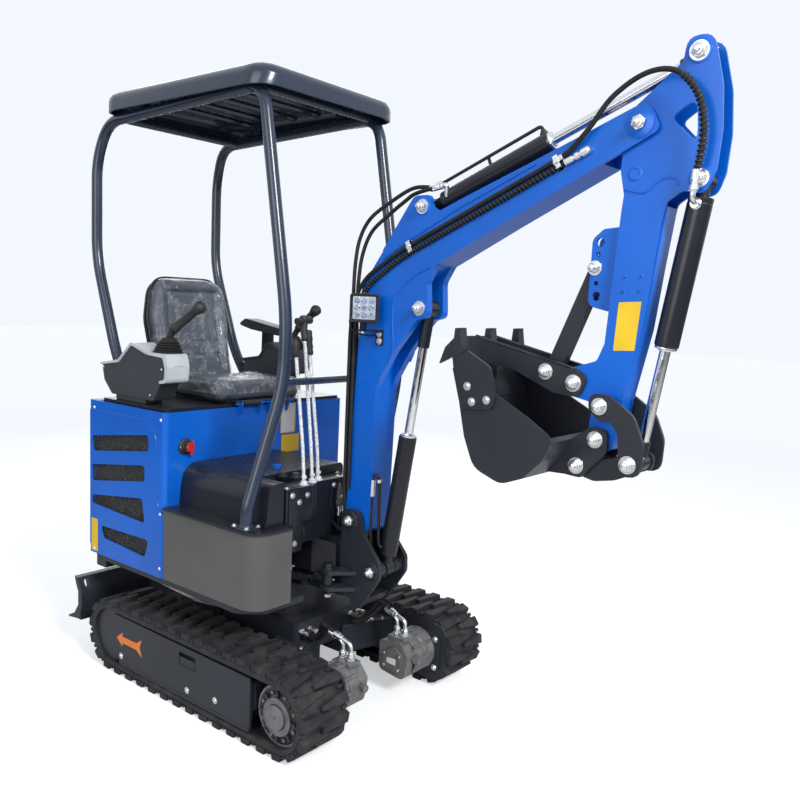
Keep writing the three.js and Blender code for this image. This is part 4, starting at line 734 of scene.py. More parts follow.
def drive_motor(side, suffix):
    """Cast details on the travel motor, its ports, and the hoses that run back to the carrier."""
    inward = Y * -side

    def face(x, y, z):
        return at(x, side * y, z)

    flange = Piece()
    flange.across([(392, 62, 30), (392, 218, 30), (560, 218, 40), (560, 62, 40)], side * MOTOR_FACE,
                  side * (MOTOR_FACE - 8))
    flange.made(f"motor_flange_{suffix}", "undercarriage", CHARCOAL_PAINT, "charcoal_paint")
    cast_parts = Piece()
    axis = face(458.5, MOTOR_FACE - 8, 144.5)
    cast_parts.turned(axis, inward, [(0, 82), (10, 82), (14, 79), (52, 79), (58, 74), (62, 74), (66, 79),
                                     (112, 79)], 40)
    for k in range(10):
        angle = 2 * math.pi * k / 10
        ray = X * math.cos(angle) + Z * math.sin(angle)
        cast_parts.bar(axis + ray * 78 * MM + inward * 8 * MM, axis + ray * 78 * MM + inward * 112 * MM, 7,
                       10)
    cast_parts.across([(424, 205, 8), (424, 226, 4), (506, 226, 4), (506, 205, 8)], side * 180, side * 122)
    cast_parts.across([(418, 160, 20), (418, 108, 30), (500, 96, 30), (512, 168, 20), (470, 196, 20)],
                      side * 118, side * (MOTOR_END - 7))
    cast_parts.bar(face(530, 150, 150), face(560, 150, 150), 14)
    cast_parts.made(f"motor_casting_{suffix}", "undercarriage", CAST_STEEL, "cast_steel", edge=1.5)
    plate = Piece().across([(440, 128, 3), (440, 148, 3), (482, 150, 3), (482, 126, 3)],
                           side * (MOTOR_END - 7), side * (MOTOR_END - 8))
    plate.made(f"motor_plate_{suffix}", "undercarriage", LABEL_WHITE, edge=0)
    bolts = Piece()
    for x, z in ((412, 84), (412, 196), (540, 84), (540, 196)):
        bolts.bolt(face(x, MOTOR_FACE - 8, z), inward, 8, 8)
    for x, z in ((428, 116), (428, 162), (496, 112), (500, 164)):
        bolts.bolt(face(x, MOTOR_END - 7, z), inward, 6, 5, washer=False)
    fittings, hoses = Piece(), Piece()
    for x, reach in ((446, 0), (484, 14)):
        foot = face(x, 150, 226)
        fittings.turned(foot, Z, [(0, 15), (6, 15), (7, 12), (12, 12)], 6)
        fittings.turned(foot, Z, [(12, 13.5), (24, 13.5), (26, 10), (30, 10)], 6, 0.4)
        start = foot + Z * 28 * MM
        bend = route([start, start + Z * 30 * MM, start + Vector((-34 - reach, side * 2, 44)) * MM], 22)
        fittings.swept(bend, 7)
        ahead = (bend[-1] - bend[-2]).normalized()
        fittings.turned(bend[-1] - ahead * 4 * MM, ahead, [(0, 10), (10, 10), (11, 12), (32, 12), (34, 9)],
                        20)
        hose_start = bend[-1] + ahead * 26 * MM
        end = at(250 + reach, side * (118 - reach), 236)
        hoses.swept(curved([hose_start, hose_start + ahead * 40 * MM, (hose_start + end) / 2 + Z * 6 * MM,
                            end + Vector((30, side * 14, 6)) * MM, end]), 8.5)
    bolts.made(f"motor_bolts_{suffix}", "undercarriage", ZINC, "zinc", edge=0.3)
    fittings.made(f"motor_fittings_{suffix}", "undercarriage", ZINC, "zinc", edge=0.5)
    hoses.made(f"motor_hoses_{suffix}", "undercarriage", HOSE_RUBBER, "hose_rubber", edge=0)


for side, suffix in SIDES:
    belt(side, suffix)
    flow_arrow(side, suffix)
    frame_trim(side, suffix)
    drive_motor(side, suffix)


def weld(name, body, material, slot, *paths):
    """Rippled weld beads along paths."""
    piece = Piece()
    for path in paths:
        length = sum((b - a).length for a, b in zip(path, path[1:])) / MM
        count = max(6, int(length / 5))
        fine = []
        for k in range(count + 1):
            left = k / count * length
            for a, b in zip(path, path[1:]):
                step = (b - a).length / MM
                if left <= step + 1e-6:
                    fine.append(a.lerp(b, min(left / step, 1)))
                    break
                left -= step
        piece.swept(fine, lambda share, n=count: 3.6 if round(share * n) % 2 else 3.0, 8)
    piece.made(name, body, material, slot, edge=0, sharp=60)


def carrier_trim():
    welds = []
    for sx in (-1, 1):
        for sy in (-1, 1):
            welds.append([at(235 * sx, 80 * sy, 222), at(250 * sx, 62 * sy, 222),
                          at(318 * sx, 273 * sy, 222)])
    weld("carrier_welds", "undercarriage", CHARCOAL_PAINT, "charcoal_paint", *welds)
    bolts = Piece()
    for k in range(20):
        angle = 2 * math.pi * k / 20
        bolts.bolt(at(152 * math.cos(angle), 152 * math.sin(angle), 330), Z, 9, 8)
    for x, y in ((300, -235), (300, 235), (282, -190), (282, 190)):
        bolts.bolt(at(x, y, 222), Z, 8, 7)
    bolts.made("carrier_bolts", "undercarriage", ZINC, "zinc", edge=0.3)
    fittings = Piece()
    for y in (-150, -110, 110, 150):
        fittings.turned(at(236, y, 262), X, [(0, 11), (10, 11), (11, 8), (20, 8), (21, 10), (42, 10)], 6)
    fittings.made("carrier_fittings", "undercarriage", ZINC, "zinc", edge=0.4)


carrier_trim()


def blade_trim():
    shoes = Piece()
    shoes.across([(-712, 141), (-712, 156), (-676, 166), (-676, 141)], -486, 486)
    shoes.made("blade_edge", "blade", CHARCOAL_PAINT, "charcoal_paint")
    nuts = Piece()
    for side, _ in SIDES:
        for face in (22.7 + 14, -22.7 - 14):
            nuts.bolt(at(-332, side * 150 + face, 196), Y * math.copysign(1, face), 15, 9)
        nuts.bolt(at(-266, side * 35, 306), Y * side, 14, 9)
    nuts.made("blade_hinge_nuts", "undercarriage", ZINC, "zinc", edge=0.4)
    nuts = Piece()
    for side, _ in SIDES:
        nuts.bolt(at(-560, side * 36, 236), Y * side, 14, 9)
    nuts.made("blade_rod_nuts", "blade", ZINC, "zinc", edge=0.4)


blade_trim()

# ---------------------------------------------------------------- body on the platform

LOUVRE_AREA = (-642, -254, 482, 952)
BOX_FACE, BOX_FRONT, STEP_TOP, TANK_TOP, CONSOLE_TOP = 460, -165, 698, 852, 820.2
WIRE_WIDTH = 0.0028


def screens():
    """Expanded-metal screens behind the louvres and the rear vents."""
    def lattice(name, body, corner, wide, high, count_w, count_h):
        piece = Piece()
        grid = {}
        for i in range(count_w + 1):
            for j in range(count_h + 1):
                if (i + j) % 2 == 0:
                    grid[i, j] = piece.bm.verts.new(corner + wide * i / count_w + high * j / count_h)
        for i in range(count_w + 1):
            for j in range(count_h + 1):
                ring = [grid.get(k) for k in ((i - 1, j), (i, j - 1), (i + 1, j), (i, j + 1))]
                if (i + j) % 2 and all(ring):
                    piece.bm.faces.new(ring)
        made = piece.made(name, body, SCREEN_METAL, "black_paint", edge=0)
        wires = made.modifiers.new("wires", "WIREFRAME")
        wires.thickness = WIRE_WIDTH
        wires.use_even_offset = False
    x0, x1, z0, z1 = LOUVRE_AREA
    for side, suffix in SIDES:
        lattice(f"side_screen_{suffix}", "house", at(x0, side * 452, z0), X * (x1 - x0) * MM,
                Z * (z1 - z0) * MM, 35, 78)
    lattice("rear_screen", "hood", at(-646, -246, 614), Y * 0.492, Z * 0.206, 44, 34)
    # Dark sheets just behind the side screens: painted shade, so the holes read dark.
    shade_sheet = Piece()
    for side, _ in SIDES:
        shade_sheet.block(-636, -256, side * 440, side * 436, 478, 958)
    shade_sheet.made("screen_shade_sheet", "house", BLACK_PLASTIC, "black_plastic", edge=0)
    # The same painted shade: a dark sheet behind the rear screen.
    Piece().block(-642, -640, -250, 250, 606, 826).made("rear_shade_sheet", "hood", BLACK_PLASTIC,
                                                        "black_plastic", edge=0)


screens()


def engine_box_trim():
    dial = Piece()
    spot = at(-164.6, -371, 911)
    dial.turned(spot, X, [(0, 31), (4, 31), (6, 28), (8, 20), (14, 18), (18, 17)], 32)
    dial.made("isolator_dial", "house", BLACK_PLASTIC, "black_plastic", edge=0.5)
    key = Piece().slab([spot + Vector((14, y, z)) * MM for y, z in ((-6, -16), (6, -16), (6, 16), (-6, 16))],
                       X * 14 * MM)
    key.slab([spot + Vector((20, y, z)) * MM for y, z in ((10, 20), (22, 24), (26, -2), (18, -30), (8, -28),
                                                          (6, 0))], X * 4 * MM)
    key.made("isolator_key", "house", RED_PLASTIC, edge=1.2)
    pivot = Piece().turned(spot + X * 17 * MM, X, [(0, 7), (4, 7), (6, 5)], 16)
    for y, z in ((-24, 0), (24, 0)):
        pivot.screw(spot + Vector((4, y, z)) * MM, X, 3)
    pivot.made("isolator_screws", "house", ZINC, "zinc", edge=0)
    for name, material, corners, depth in (
            ("notice_white", LABEL_WHITE, [(103, 920, 2), (174, 920, 2), (174, 1033, 2), (103, 1033, 2)],
             0.7),
            ("notice_edge", LABEL_YELLOW, [(98, 915, 3), (179, 915, 3), (179, 1037, 3), (98, 1037, 3)], 0.4),
            ("notice_yellow", LABEL_YELLOW, [(105, 835, 2), (202, 835, 2), (202, 907, 2), (105, 907, 2)],
             0.6)):
        Piece().facing(corners, BOX_FRONT, BOX_FRONT + depth).made(name, "house", material, edge=0)
    for side, suffix in SIDES:
        Piece().across([(-597, 439, 3), (-597, 569, 3), (-640, 569, 3), (-640, 439, 3)], side * BOX_FACE,
                       side * (BOX_FACE + 0.7)).made(
            f"side_notice_{suffix}", "house", LABEL_YELLOW, edge=0)
        screws = Piece()
        for x, z in ((-186, 668), (-186, 466), (-620, 1012), (-186, 1012), (-620, 446)):
            screws.screw(at(x, side * BOX_FACE, z), Y * side, 6.5)
        screws.made(f"box_screws_{suffix}", "house", ZINC, "zinc", edge=0)
        fold = ((-646, 1002), (-268, 1002), (-214, 950), (-204, 700), (-168, 668))
        seam = Piece().swept(route([at(x, side * BOX_FACE, z) for x, z in fold], 30, 5), 1.5, 8)
        seam.made(f"box_fold_{suffix}", "house", BLUE_PAINT, "blue_paint", edge=0)
    pads = Piece().swept([at(-560, -430, 1041.5), at(-560, 430, 1041.5), at(-180, 430, 1041.5),
                          at(-180, -430, 1041.5)], 3.5, 8, closed=True)
    pads.made("deck_seal", "house", BLACK_PLASTIC, "black_plastic", edge=0)
    handle = Piece().swept(route([at(-661, -60, 936), at(-690, -60, 936), at(-690, 60, 936),
                                  at(-661, 60, 936)], 16), 7, 14)
    handle.turned(at(-660, 0, 880), -X, [(0, 20), (3, 20), (4, 17), (6, 17)], 28)
    handle.made("hood_handle", "hood", BLACK_PLASTIC, "black_plastic", edge=0.4)
    hinges = Piece()
    for y in (-300, 300):
        hinges.turned(at(-664, y - 38, 1012), Y, [(0, 8), (76, 8)], 20)
        hinges.block(-661, -658, y - 34, y + 34, 978, 1012)
        for dy in (-20, 20):
            hinges.screw(at(-661, y + dy, 990), -X, 5)
    hinges.made("hood_hinges", "hood", ZINC, "zinc", edge=0.5)


engine_box_trim()


def lozenges(name, spots, length=9, width=3.4, height=0.9):
    """Raised diamonds of checker plate, turned one way and the other in turn."""
    piece = Piece()
    for spot, turned_over in spots:
        a, b = (X + Y, X - Y) if turned_over else (X - Y, X + Y)
        a, b = a.normalized() * length * MM, b.normalized() * width * MM
        base = [piece.bm.verts.new(spot + v) for v in (a, b, -a, -b)]
        crown = [piece.bm.verts.new(spot + v * 0.6 + Z * height * MM) for v in (a, b, -a, -b)]
        piece._skin([base, crown])
    piece.made(name, "house", BLACK_PAINT, "black_paint", edge=0)


CHECKER_STEP = 27


def checker_plates():
    tank_xs = [-146 + CHECKER_STEP * i for i in range(13) if -146 + CHECKER_STEP * i < 180]
    spots = [(at(x + (13.5 if j % 2 else 0), -286 + 15.5 * j, TANK_TOP), (i + j) % 2)
             for i, x in enumerate(tank_xs) for j in range(23)]
    lozenges("tank_checker", spots, 9.5)
    step_xs = [-150 + CHECKER_STEP * i for i in range(17) if -150 + CHECKER_STEP * i < 262]
    spots = [(at(x, y, STEP_TOP), (i + k) % 2)
             for i, x in enumerate(step_xs) for k, y in enumerate((-454, -438, -422, -406))]
    lozenges("step_checker_R", spots)
    spots = []
    for i in range(16):
        for j in range(21):
            x, y = -146 + CHECKER_STEP * i, 110 + 16 * j
            past_step = x >= (136 if y > 280 else 255)
            under_foot = i > 11 and 200 < y < 320
            if not past_step and not under_foot:
                spots.append((at(x, y, STEP_TOP), (i + j) % 2))
    lozenges("step_checker_L", spots)
    knobs = Piece()
    for x, y, z in ((219, -245, 846), (262, -222, 846)):
        knobs.turned(at(x, y, z), Z, [(0, 17), (3, 17), (4, 14), (14, 14), (17, 11), (18, 4)], 28)
    knobs.made("tank_knobs", "house", BLACK_PLASTIC, "black_plastic", edge=0.6)
    Piece().upright([(112, -196, 5), (140, -196, 5), (140, -172, 5), (112, -172, 5)], TANK_TOP, 866).made(
        "tank_lock", "house", BLUE_PAINT, "blue_paint", edge=1.5)
    seam = Piece().swept([at(195.4, -386, 706), at(195.4, -386.4, 790), at(195.4, -376, 846.5),
                          at(195.4, 80, 852.4)], 1.2, 8)
    seam.made("tank_folds", "house", BLACK_PAINT, "black_paint", edge=0)


checker_plates()


def console_trim():
    side = Piece()
    side.upright([(305.4, -296, 3), (312, -296, 3), (312, -232, 3), (305.4, -232, 3)], 600, 816)
    side.upright([(274.4, -60, 3), (280, -60, 3), (280, 56, 3), (274.4, 56, 3)], 706, 812)
    side.block(262, 276, -292, 52, 612, 690)
    side.made("console_brackets", "house", BLACK_PAINT, "black_paint", edge=1)
    bolts = Piece()
    for x, y, z in ((312, -283, 800), (312, -250, 772), (312, -268, 630), (305.4, -205, 790), (280, -46, 798),
                    (280, 44, 798)):
        bolts.bolt(at(x, y, z), X, 7, 6)
    for x, y in ((290, -290), (262, -10), (212, 40), (212, -250)):
        bolts.bolt(at(x, y, CONSOLE_TOP), Z, 6.5, 5)
    bolts.made("console_bolts", "house", ZINC, "zinc", edge=0.3)
    valve_ys = [-20 + 21 * k for k in range(4)]
    bank, joints, lines = Piece(), Piece(), Piece()
    for k, y in enumerate(valve_ys):
        bank.block(276, 291, y - 9, y + 9, 716, 790)
        bank.turned(at(284, y, 790), Z, [(0, 7), (8, 7), (9, 5), (14, 5)], 20)
        joints.turned(at(291, y, 752), X, [(0, 9), (5, 9), (6, 7), (9, 7)], 6)
        joints.turned(at(284, y, 716), -Z, [(0, 8), (8, 8), (9, 7), (14, 7), (15, 8), (34, 8)], 12)
        lines.swept(curved([at(284, y, 690), at(283, y + 2, 640), at(258 - 8 * k, y + 10, 606),
                            at(215, y + 12, 600)], 8), 6.5, 12)
    bank.block(277, 289, -34, 56, 728, 740)
    bank.made("valve_bank", "house", CAST_STEEL, "cast_steel", edge=1)
    joints.made("valve_joints", "house", ZINC, "zinc", edge=0.4)
    lines.swept(curved([at(262, -196, 700), at(276, -190, 640), at(250, -180, 600), at(205, -170, 590)], 8),
                6, 12)
    lines.made("valve_lines", "house", HOSE_RUBBER, "hose_rubber", edge=0)


console_trim()


# Each lever: its foot (x, y), how far its top leans and rises from there, and how far below the top its
# grip starts.
LEVERS = (
    ("travel_lever_R", 270, -150, -71, 552, 60),
    ("travel_lever_L", 254, -104, -74, 500, 60),
    ("blade_lever", 280, -200, -66, 466, 30),
)


def levers():
    """Three bent levers in clear film, with rubber boots and black hand grips."""
    for name, x, y, lean, rise, reach in LEVERS:
        foot = at(x, y, 824)
        top = foot + Vector((lean, 6, rise)) * MM
        path = route([foot, foot + Vector((-10, 2, 106)) * MM, top], 40, 6)
        wound = subdivided(path, 9)
        wrap = [6.4 + 1.5 * noise.noise(Vector((k * 0.55, y, 0))) for k in range(len(wound))]
        rod = Piece().swept(wound, lambda share, wrap=wrap: wrap[round(share * (len(wrap) - 1))], 16)
        rod.turned(foot - Z * 3.4 * MM, Z, [(0, 17), (3, 17), (5, 13), (12, 12), (14, 8)], 24)
        rod.turned(foot + Z * 20 * MM, Z, [(0, 10), (9, 10)], 6)
        rod.made(f"{name}_rod", "house", LEVER_FILM, "zinc", edge=0, replaces=[name])
        grip = Piece()
        tilt = (path[-1] - path[-2]).normalized()
        low = top - tilt * reach * MM
        if reach > 40:
            grip.turned(low, tilt, [(0, 9), (4, 12), (12, 13), (16, 11.5), (30, 13.5), (44, 12), (58, 14.5),
                                    (70, 13), (82, 14.5), (88, 12), (91, 6)], 24)
        else:
            grip.turned(low, tilt, [(0, 8), (6, 11), (30, 13), (44, 14.5), (56, 14), (63, 9), (65, 3)], 24)
        if name == "travel_lever_R":
            grip.swept(route([top + Vector((0, -34, 8)) * MM, top + Vector((0, 34, 14)) * MM], 4), 13, 20)
        grip.made(f"{name}_grip", "house", BLACK_PLASTIC, "black_plastic", edge=0)


levers()


# ---------------------------------------------------------------- canopy

FRONT_FEET = {"R": (243, -424), "L": (225, 260)}


def canopy():
    frame_tubes = Piece()
    for side, suffix in SIDES:
        foot_x, foot_y = FRONT_FEET[suffix]
        points = [at(-628, side * 312, 1041), at(-628, side * 312, 1090), at(-716, side * 308, 1217),
                  at(-862, side * 305, 1600), at(-862, side * 305, 1990), at(-800, side * 292, 2138),
                  at(130, side * 292, 2172), at(272, side * 296, 1400), at(272, side * 300, 1180),
                  at(foot_x, foot_y, 760), at(foot_x, foot_y, 698.6)]
        frame_tubes.swept(route(points, 90, 12), 21.8, 28)
    for x, z, radius in ((-700, 2140, 16), (100, 2168, 16), (268, 1182, 13)):
        frame_tubes.bar(at(x, -292, z), at(x, 292, z), radius, 24)
    frame_tubes.made("canopy_tubes", "house", CANOPY_PAINT, "canopy_paint", edge=0, replaces=["canopy_frame"])
    feet, bolts = Piece(), Piece()
    for side, suffix in SIDES:
        x, y = FRONT_FEET[suffix]
        feet.upright([(x - 40, y - 34, 8), (x + 40, y - 34, 8), (x + 40, y + 34, 8), (x - 40, y + 34, 8)],
                     698.3, 706)
        feet.turned(at(x, y, 706), Z, [(0, 26), (3, 24), (6, 22.4)], 28)
        feet.upright([(-648, side * 312 - 40, 8), (-604, side * 312 - 40, 8), (-604, side * 312 + 40, 8),
                      (-648, side * 312 + 40, 8)], 1040.3, 1049)
        feet.turned(at(-628, side * 312, 1049), Z, [(0, 26), (3, 24), (6, 22.4)], 28)
        for dx, dy in ((-31, -25), (31, -25), (31, 25), (-31, 25)):
            bolts.bolt(at(x + dx, y + dy, 706), Z, 7, 6)
        for dy in (-32, 32):
            bolts.bolt(at(-626, side * 312 + dy, 1049), Z, 7, 6)
        for roof_x in (-560, -60):
            bolts.bolt(at(roof_x, side * 306, 2196), Y * side, 6, 5)
    feet.made("canopy_feet", "house", CANOPY_PAINT, "canopy_paint", edge=0.8)
    bolts.made("canopy_bolts", "house", ZINC, "zinc", edge=0.3)
    caps = Piece().turned(at(268, 283, 1182), Y, [(0, 13.6), (22, 13.6), (24, 12)], 24)
    caps.made("rail_end_cap", "house", GREY_PLASTIC, "grey_plastic", edge=0.4)
    ribs = Piece()
    for x in (-640, -500, -360, -220, -80, 60):
        ribs.slab([at(x - 18, -316, 2223), at(x + 18, -316, 2223), at(x + 10, -316, 2214),
                   at(x - 10, -316, 2214)], Y * 0.632)
    ribs.made("roof_ribs", "house", CANOPY_PAINT, "canopy_paint", edge=2)
    ridge = Piece()
    corners = [(-706, -290, 70), (126, -290, 70), (126, 290, 70), (-706, 290, 70)]
    ridge.swept([at(p.x, p.y, 2233.4) for p in rounded(corners, 8)], 1.6, 8, closed=True)
    ridge.made("roof_crease", "house", CANOPY_PAINT, "canopy_paint", edge=0)


canopy()

# ---------------------------------------------------------------- pins

# Each pin: its body, (x, z), how far out its nuts sit, and their size.
PIN_ENDS = (
    ("boom_foot", "bracket", 394, 694, 80, 21),
    ("boom_base", "bracket", 501, 531, 80, 20),
    ("boom_rod", "boom_arm", 643, 1449, 58, 19),
    ("arm_base", "boom_arm", 632, 1776, 50, 19),
    ("arm_pivot", "boom_arm", 1355, 1964, 58, 21),
    ("arm_rod", "dipper", 1494, 2132, 42, 21),
    ("bucket_base", "dipper", 1521, 1814, 42, 19),
    ("rocker", "rocker_arm", 1306, 1201, 79, 19),
    ("rocker_end", "rocker_arm", 1400, 1050, 79, 20),
    ("bucket_pivot", "bucket_body", 1292, 1104, 62, 19),
    ("bucket_link", "bucket_body", 1239, 1022, 62, 19),
    ("thumb", "dipper", 1210, 1256, 54.3, 20),
    ("thumb_foot", "dipper", 1118, 1282, 54.3, 19),
    ("stay_top", "dipper", 1240, 1584, 28, 16),
)

for name, body, x, z, reach, size in PIN_ENDS:
    ends = Piece()
    for side, _ in SIDES:
        ends.nut(at(x, side * reach, z), Y * side, size, size + 5, 10)
    ends.made(f"{name}_pin_nuts", body, ZINC, "zinc", edge=0.5)


# ---------------------------------------------------------------- hydraulic cylinders


def cylinder(name, start, end, hinge, radius, eye, neck, barrel, bodies, half=21, rod_end=62):
    """A cylinder in full detail along the line between its two pins at rest.

    The barrel is at its full radius from the neck to its end, an eye reaches half to each side of the line,
    and the rod's thick end starts rod_end short of its pin. Gives the line's direction and the way out.
    """
    axis = (end - start).normalized()
    length = (end - start).length / MM
    tube = Piece()
    tube.turned(start - hinge * half * MM, hinge, [(0, eye - 2), (2, eye), (2 * half - 2, eye),
                                                   (2 * half, eye - 2)], 36)
    tube.turned(start, axis, [(0.7 * eye, 18), (neck - 4, 20), (neck - 2, radius - 3), (neck, radius),
                              (neck + 10, radius),
                              (neck + 11, radius - 0.8), (neck + 14, radius - 0.8), (neck + 15, radius),
                              (barrel - 9, radius), (barrel - 7, radius - 2), (barrel - 5, radius - 2)], 48)
    tube.made(f"{name}_tube", bodies[0], BLACK_PAINT, "black_paint", edge=0.6,
              replaces=[f"{name}_cylinder_barrel"])
    shaft = Piece()
    shaft.turned(start, axis, [(barrel - 30, 15), (length - 0.6 * eye, 15)], 40)
    shaft.made(f"{name}_shaft", bodies[1], CHROME, "chrome", edge=0, replaces=[f"{name}_cylinder_rod"])
    eyes = Piece()
    eyes.turned(end - hinge * half * MM, hinge, [(0, eye - 2), (2, eye), (2 * half - 2, eye),
                                                 (2 * half, eye - 2)], 36)
    eyes.turned(start, axis, [(length - rod_end, 17), (length - rod_end + 2, 20), (length - 0.7 * eye, 20)],
                32)
    eyes.made(f"{name}_rod_eye", bodies[1], BLACK_PAINT, "black_paint", edge=0.6)
    scraper = Piece()
    scraper.turned(start, axis, [(barrel - 6, radius - 3), (barrel, radius - 3), (barrel + 1.5, radius - 5),
                                 (barrel + 1.5, 21), (barrel + 5, 20), (barrel + 5.5, 16)], 40)
    scraper.made(f"{name}_scraper", bodies[0], ZINC, "zinc", edge=0)
    for place, body, middle, along in (("foot", bodies[0], start, -1), ("head", bodies[1], end, 1)):
        grease = Piece()
        grease.turned(middle + axis * along * (eye - 1) * MM, axis * along,
                      [(0, 4), (3, 4), (4, 2.4), (7, 2.6), (8, 1.5)], 10)
        grease.made(f"{name}_{place}_grease_point", body, ZINC, "zinc", edge=0)
    return axis, axis.cross(hinge)


P_KNEE, P_TIP = at(415, 0, 1510), at(1355, 0, 1964)
BOOM_BASE, BOOM_TOP = at(501, 0, 531), at(643, 0, 1449)
ARM_BASE, ARM_TOP = at(632, 0, 1776), at(1494, 0, 2132)
BUCKET_BASE, BUCKET_TOP = at(1521, 0, 1814), at(1400, 0, 1050)
BLADE_BASE, BLADE_TOP = at(-266, 0, 306), at(-560, 0, 236)
SWING_BASE, SWING_TOP = at(-90, -215, 480), at(340, -125, 480)

cylinder("boom", BOOM_BASE, BOOM_TOP, Y, 31, 28, 52, 492, ("boom_barrel", "boom_rod"), rod_end=132)
arm_axis, arm_out = cylinder("arm", ARM_BASE, ARM_TOP, Y, 30, 28, 60, 470, ("arm_barrel", "arm_rod"))
cylinder("bucket", BUCKET_BASE, BUCKET_TOP, Y, 33, 26, 46, 450, ("bucket_barrel", "bucket_rod"))
cylinder("blade", BLADE_BASE, BLADE_TOP, Y, 27, 25, 44, 210, ("blade_barrel", "blade_rod"))
cylinder("swing", SWING_BASE, SWING_TOP, Z, 25, 22, 36, 282, ("house", "swing_rod"), half=20, rod_end=56)


def hard_pipe(name, body, start, axis, out, run, radius, lift, clips):
    """A steel pipe beside a barrel, from its gland end back to its base, in its clips."""
    def beside(along, away):
        return start + axis * along * MM + out * away * MM
    pipe = Piece()
    pipe.swept(route([beside(run[1], radius), beside(run[1], radius + lift), beside(run[0], radius + lift)],
                     16), 5.5, 14)
    for along in clips:
        pipe.slab([beside(along - 5, radius - 4), beside(along + 5, radius - 4),
                   beside(along + 5, radius + lift), beside(along - 5, radius + lift)], Y * 4 * MM)
    pipe.turned(beside(run[1], radius - 6), out, [(0, 13), (10, 13), (11, 9), (18, 9)], 20)
    pipe.made(name, body, BLACK_PAINT, "black_paint", edge=0.4)
    return beside(run[0], radius + lift)


arm_up = arm_out if arm_out.z > 0 else -arm_out
pipe_end = hard_pipe("arm_cylinder_pipe", "arm_barrel", ARM_BASE, arm_axis, arm_up, (66, 448), 30, 27, (250,))


# ---------------------------------------------------------------- hoses


def hose(name, path, radius=7, body=None, wrap=None):
    """A rubber hose along a path. With a wrap, a spiral guard runs round it between two shares."""
    piece = Piece().swept(path, radius, 14)
    made = piece.made(name, body, HOSE_RUBBER, "hose_rubber", edge=0)
    if not wrap:
        return [made]
    guard = Piece()
    steps = 16
    low, high = int(wrap[0] * (len(path) - 1)), int(wrap[1] * (len(path) - 1))
    part = path[low:high + 1]
    runs = [0.0]
    for a, b in zip(part, part[1:]):
        runs.append(runs[-1] + (b - a).length / MM)
    turns = runs[-1] / 13
    up = None
    coil = []
    count = int(turns * steps)
    spot = 0
    for k in range(count + 1):
        run = k / count * runs[-1]
        while spot < len(runs) - 2 and runs[spot + 1] < run:
            spot += 1
        a, b = part[spot], part[spot + 1]
        share = (run - runs[spot]) / (runs[spot + 1] - runs[spot])
        along = (b - a).normalized()
        if up is None:
            up = (Z if abs(along.z) < 0.9 else X).cross(along).normalized()
        up = (up - along * up.dot(along)).normalized()
        side = along.cross(up)
        angle = 2 * math.pi * k / steps
        coil.append(a.lerp(b, share) + (up * math.cos(angle) + side * math.sin(angle)) * (radius + 1.6) * MM)
    guard.swept(coil, 2.6, 6)
    return [made, guard.made(f"{name}_guard", body, BLACK_PLASTIC, "black_plastic", edge=0)]


LINE_Y = -67
UPPER_LINE = [(350, 800), (352, 1400), (392, 1532), (560, 1634), (1134, 1890)]
LOWER_LINE = [(368, 800), (372, 1388), (406, 1508), (568, 1614), (1172, 1886)]
upper_line = route([at(x, LINE_Y, z) for x, z in UPPER_LINE], 70, 10)
lower_line = route([at(x, LINE_Y, z) for x, z in LOWER_LINE], 70, 10)
line = hose("boom_line_upper", upper_line, 6.8, "boom_arm")[0]
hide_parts("boom_hoses")


hose("boom_line_lower", subdivided(lower_line), 6.2, "boom_arm", wrap=(0.42, 0.97))


def saddle_clamps():
    """Zinc saddles that hold the hoses to the boom's side."""
    along = (P_TIP - P_KNEE).normalized()
    up = Y.cross(along) * -1
    if up.z < 0:
        up = -up
    clamps = Piece()
    for x, z in ((602, 1647), (1122, 1878)):
        middle = at(x, -58, z)
        corners = [middle + along * a * 9 * MM + up * b * 26 * MM for a, b in SQUARE]
        # The base plate stands twice in the same place.
        for _ in range(2):
            clamps.slab(corners, Y * -3 * MM)
        face = middle - Y * 16 * MM
        corners = [face + along * a * 8 * MM + up * b * 19 * MM for a, b in SQUARE]
        clamps.slab(corners, Y * -2.5 * MM)
        for end in (-1, 1):
            corners = [face + along * a * 8 * MM + up * end * (19 - b * 2.5) * MM
                       for a, b in ((-1, 0), (1, 0), (1, 1), (-1, 1))]
            clamps.slab(corners, Y * 16 * MM)
        clamps.bolt(face - Y * 2 * MM, Y * -1, 7, 6)
    clamps.made("hose_clamps", "boom_arm", ZINC, "zinc", edge=0.6)


saddle_clamps()


def plug_end():
    """The spare hose's end: a crimp and a quick coupling along the boom."""
    a, b = at(1160, LINE_Y, 1880.6), at(1172, LINE_Y, 1886)
    along = (b - a).normalized()
    end = Piece()
    end.turned(b - along * 30 * MM, along, [(0, 8), (2, 10.5), (28, 10.5), (30, 8), (36, 8), (37, 12),
                                            (50, 12), (51, 9),
                                            (56, 9), (57, 13), (78, 13), (80, 10), (84, 10)], 24)
    end.made("line_coupling", "boom_arm", ZINC, "zinc", edge=0.4)


plug_end()

# Over the arm's pivot: from the boom's clamp to the bucket cylinder.
loop = curved([at(1134, LINE_Y, 1890), at(1168, -72, 1912), at(1222, -80, 1962), at(1280, -84, 2030),
               at(1356, -86, 2076),
               at(1424, -86, 2086), at(1478, -84, 2062), at(1519, -80, 2004), at(1534, -78, 1925),
               at(1528, -74, 1860),
               at(1520, -70, 1826)], 9)
for piece in hose("pivot_loop", loop, 7.2, None, wrap=(0.58, 0.97)):
    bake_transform(piece)
crimp = Piece().turned(at(1520, -70, 1832), Vector((-0.05, 0, -1)),
                       [(0, 8), (2, 11), (28, 11), (30, 9), (40, 9), (41, 12), (52, 12)], 20)
crimp.turned(at(1134, LINE_Y, 1890) - (P_TIP - P_KNEE).normalized() * 10 * MM, (P_TIP - P_KNEE),
             [(0, 8), (1, 9.5), (14, 9.5), (15, 8)], 20)
crimp.made("pivot_loop_crimp", "dipper", ZINC, "zinc", edge=0.4)
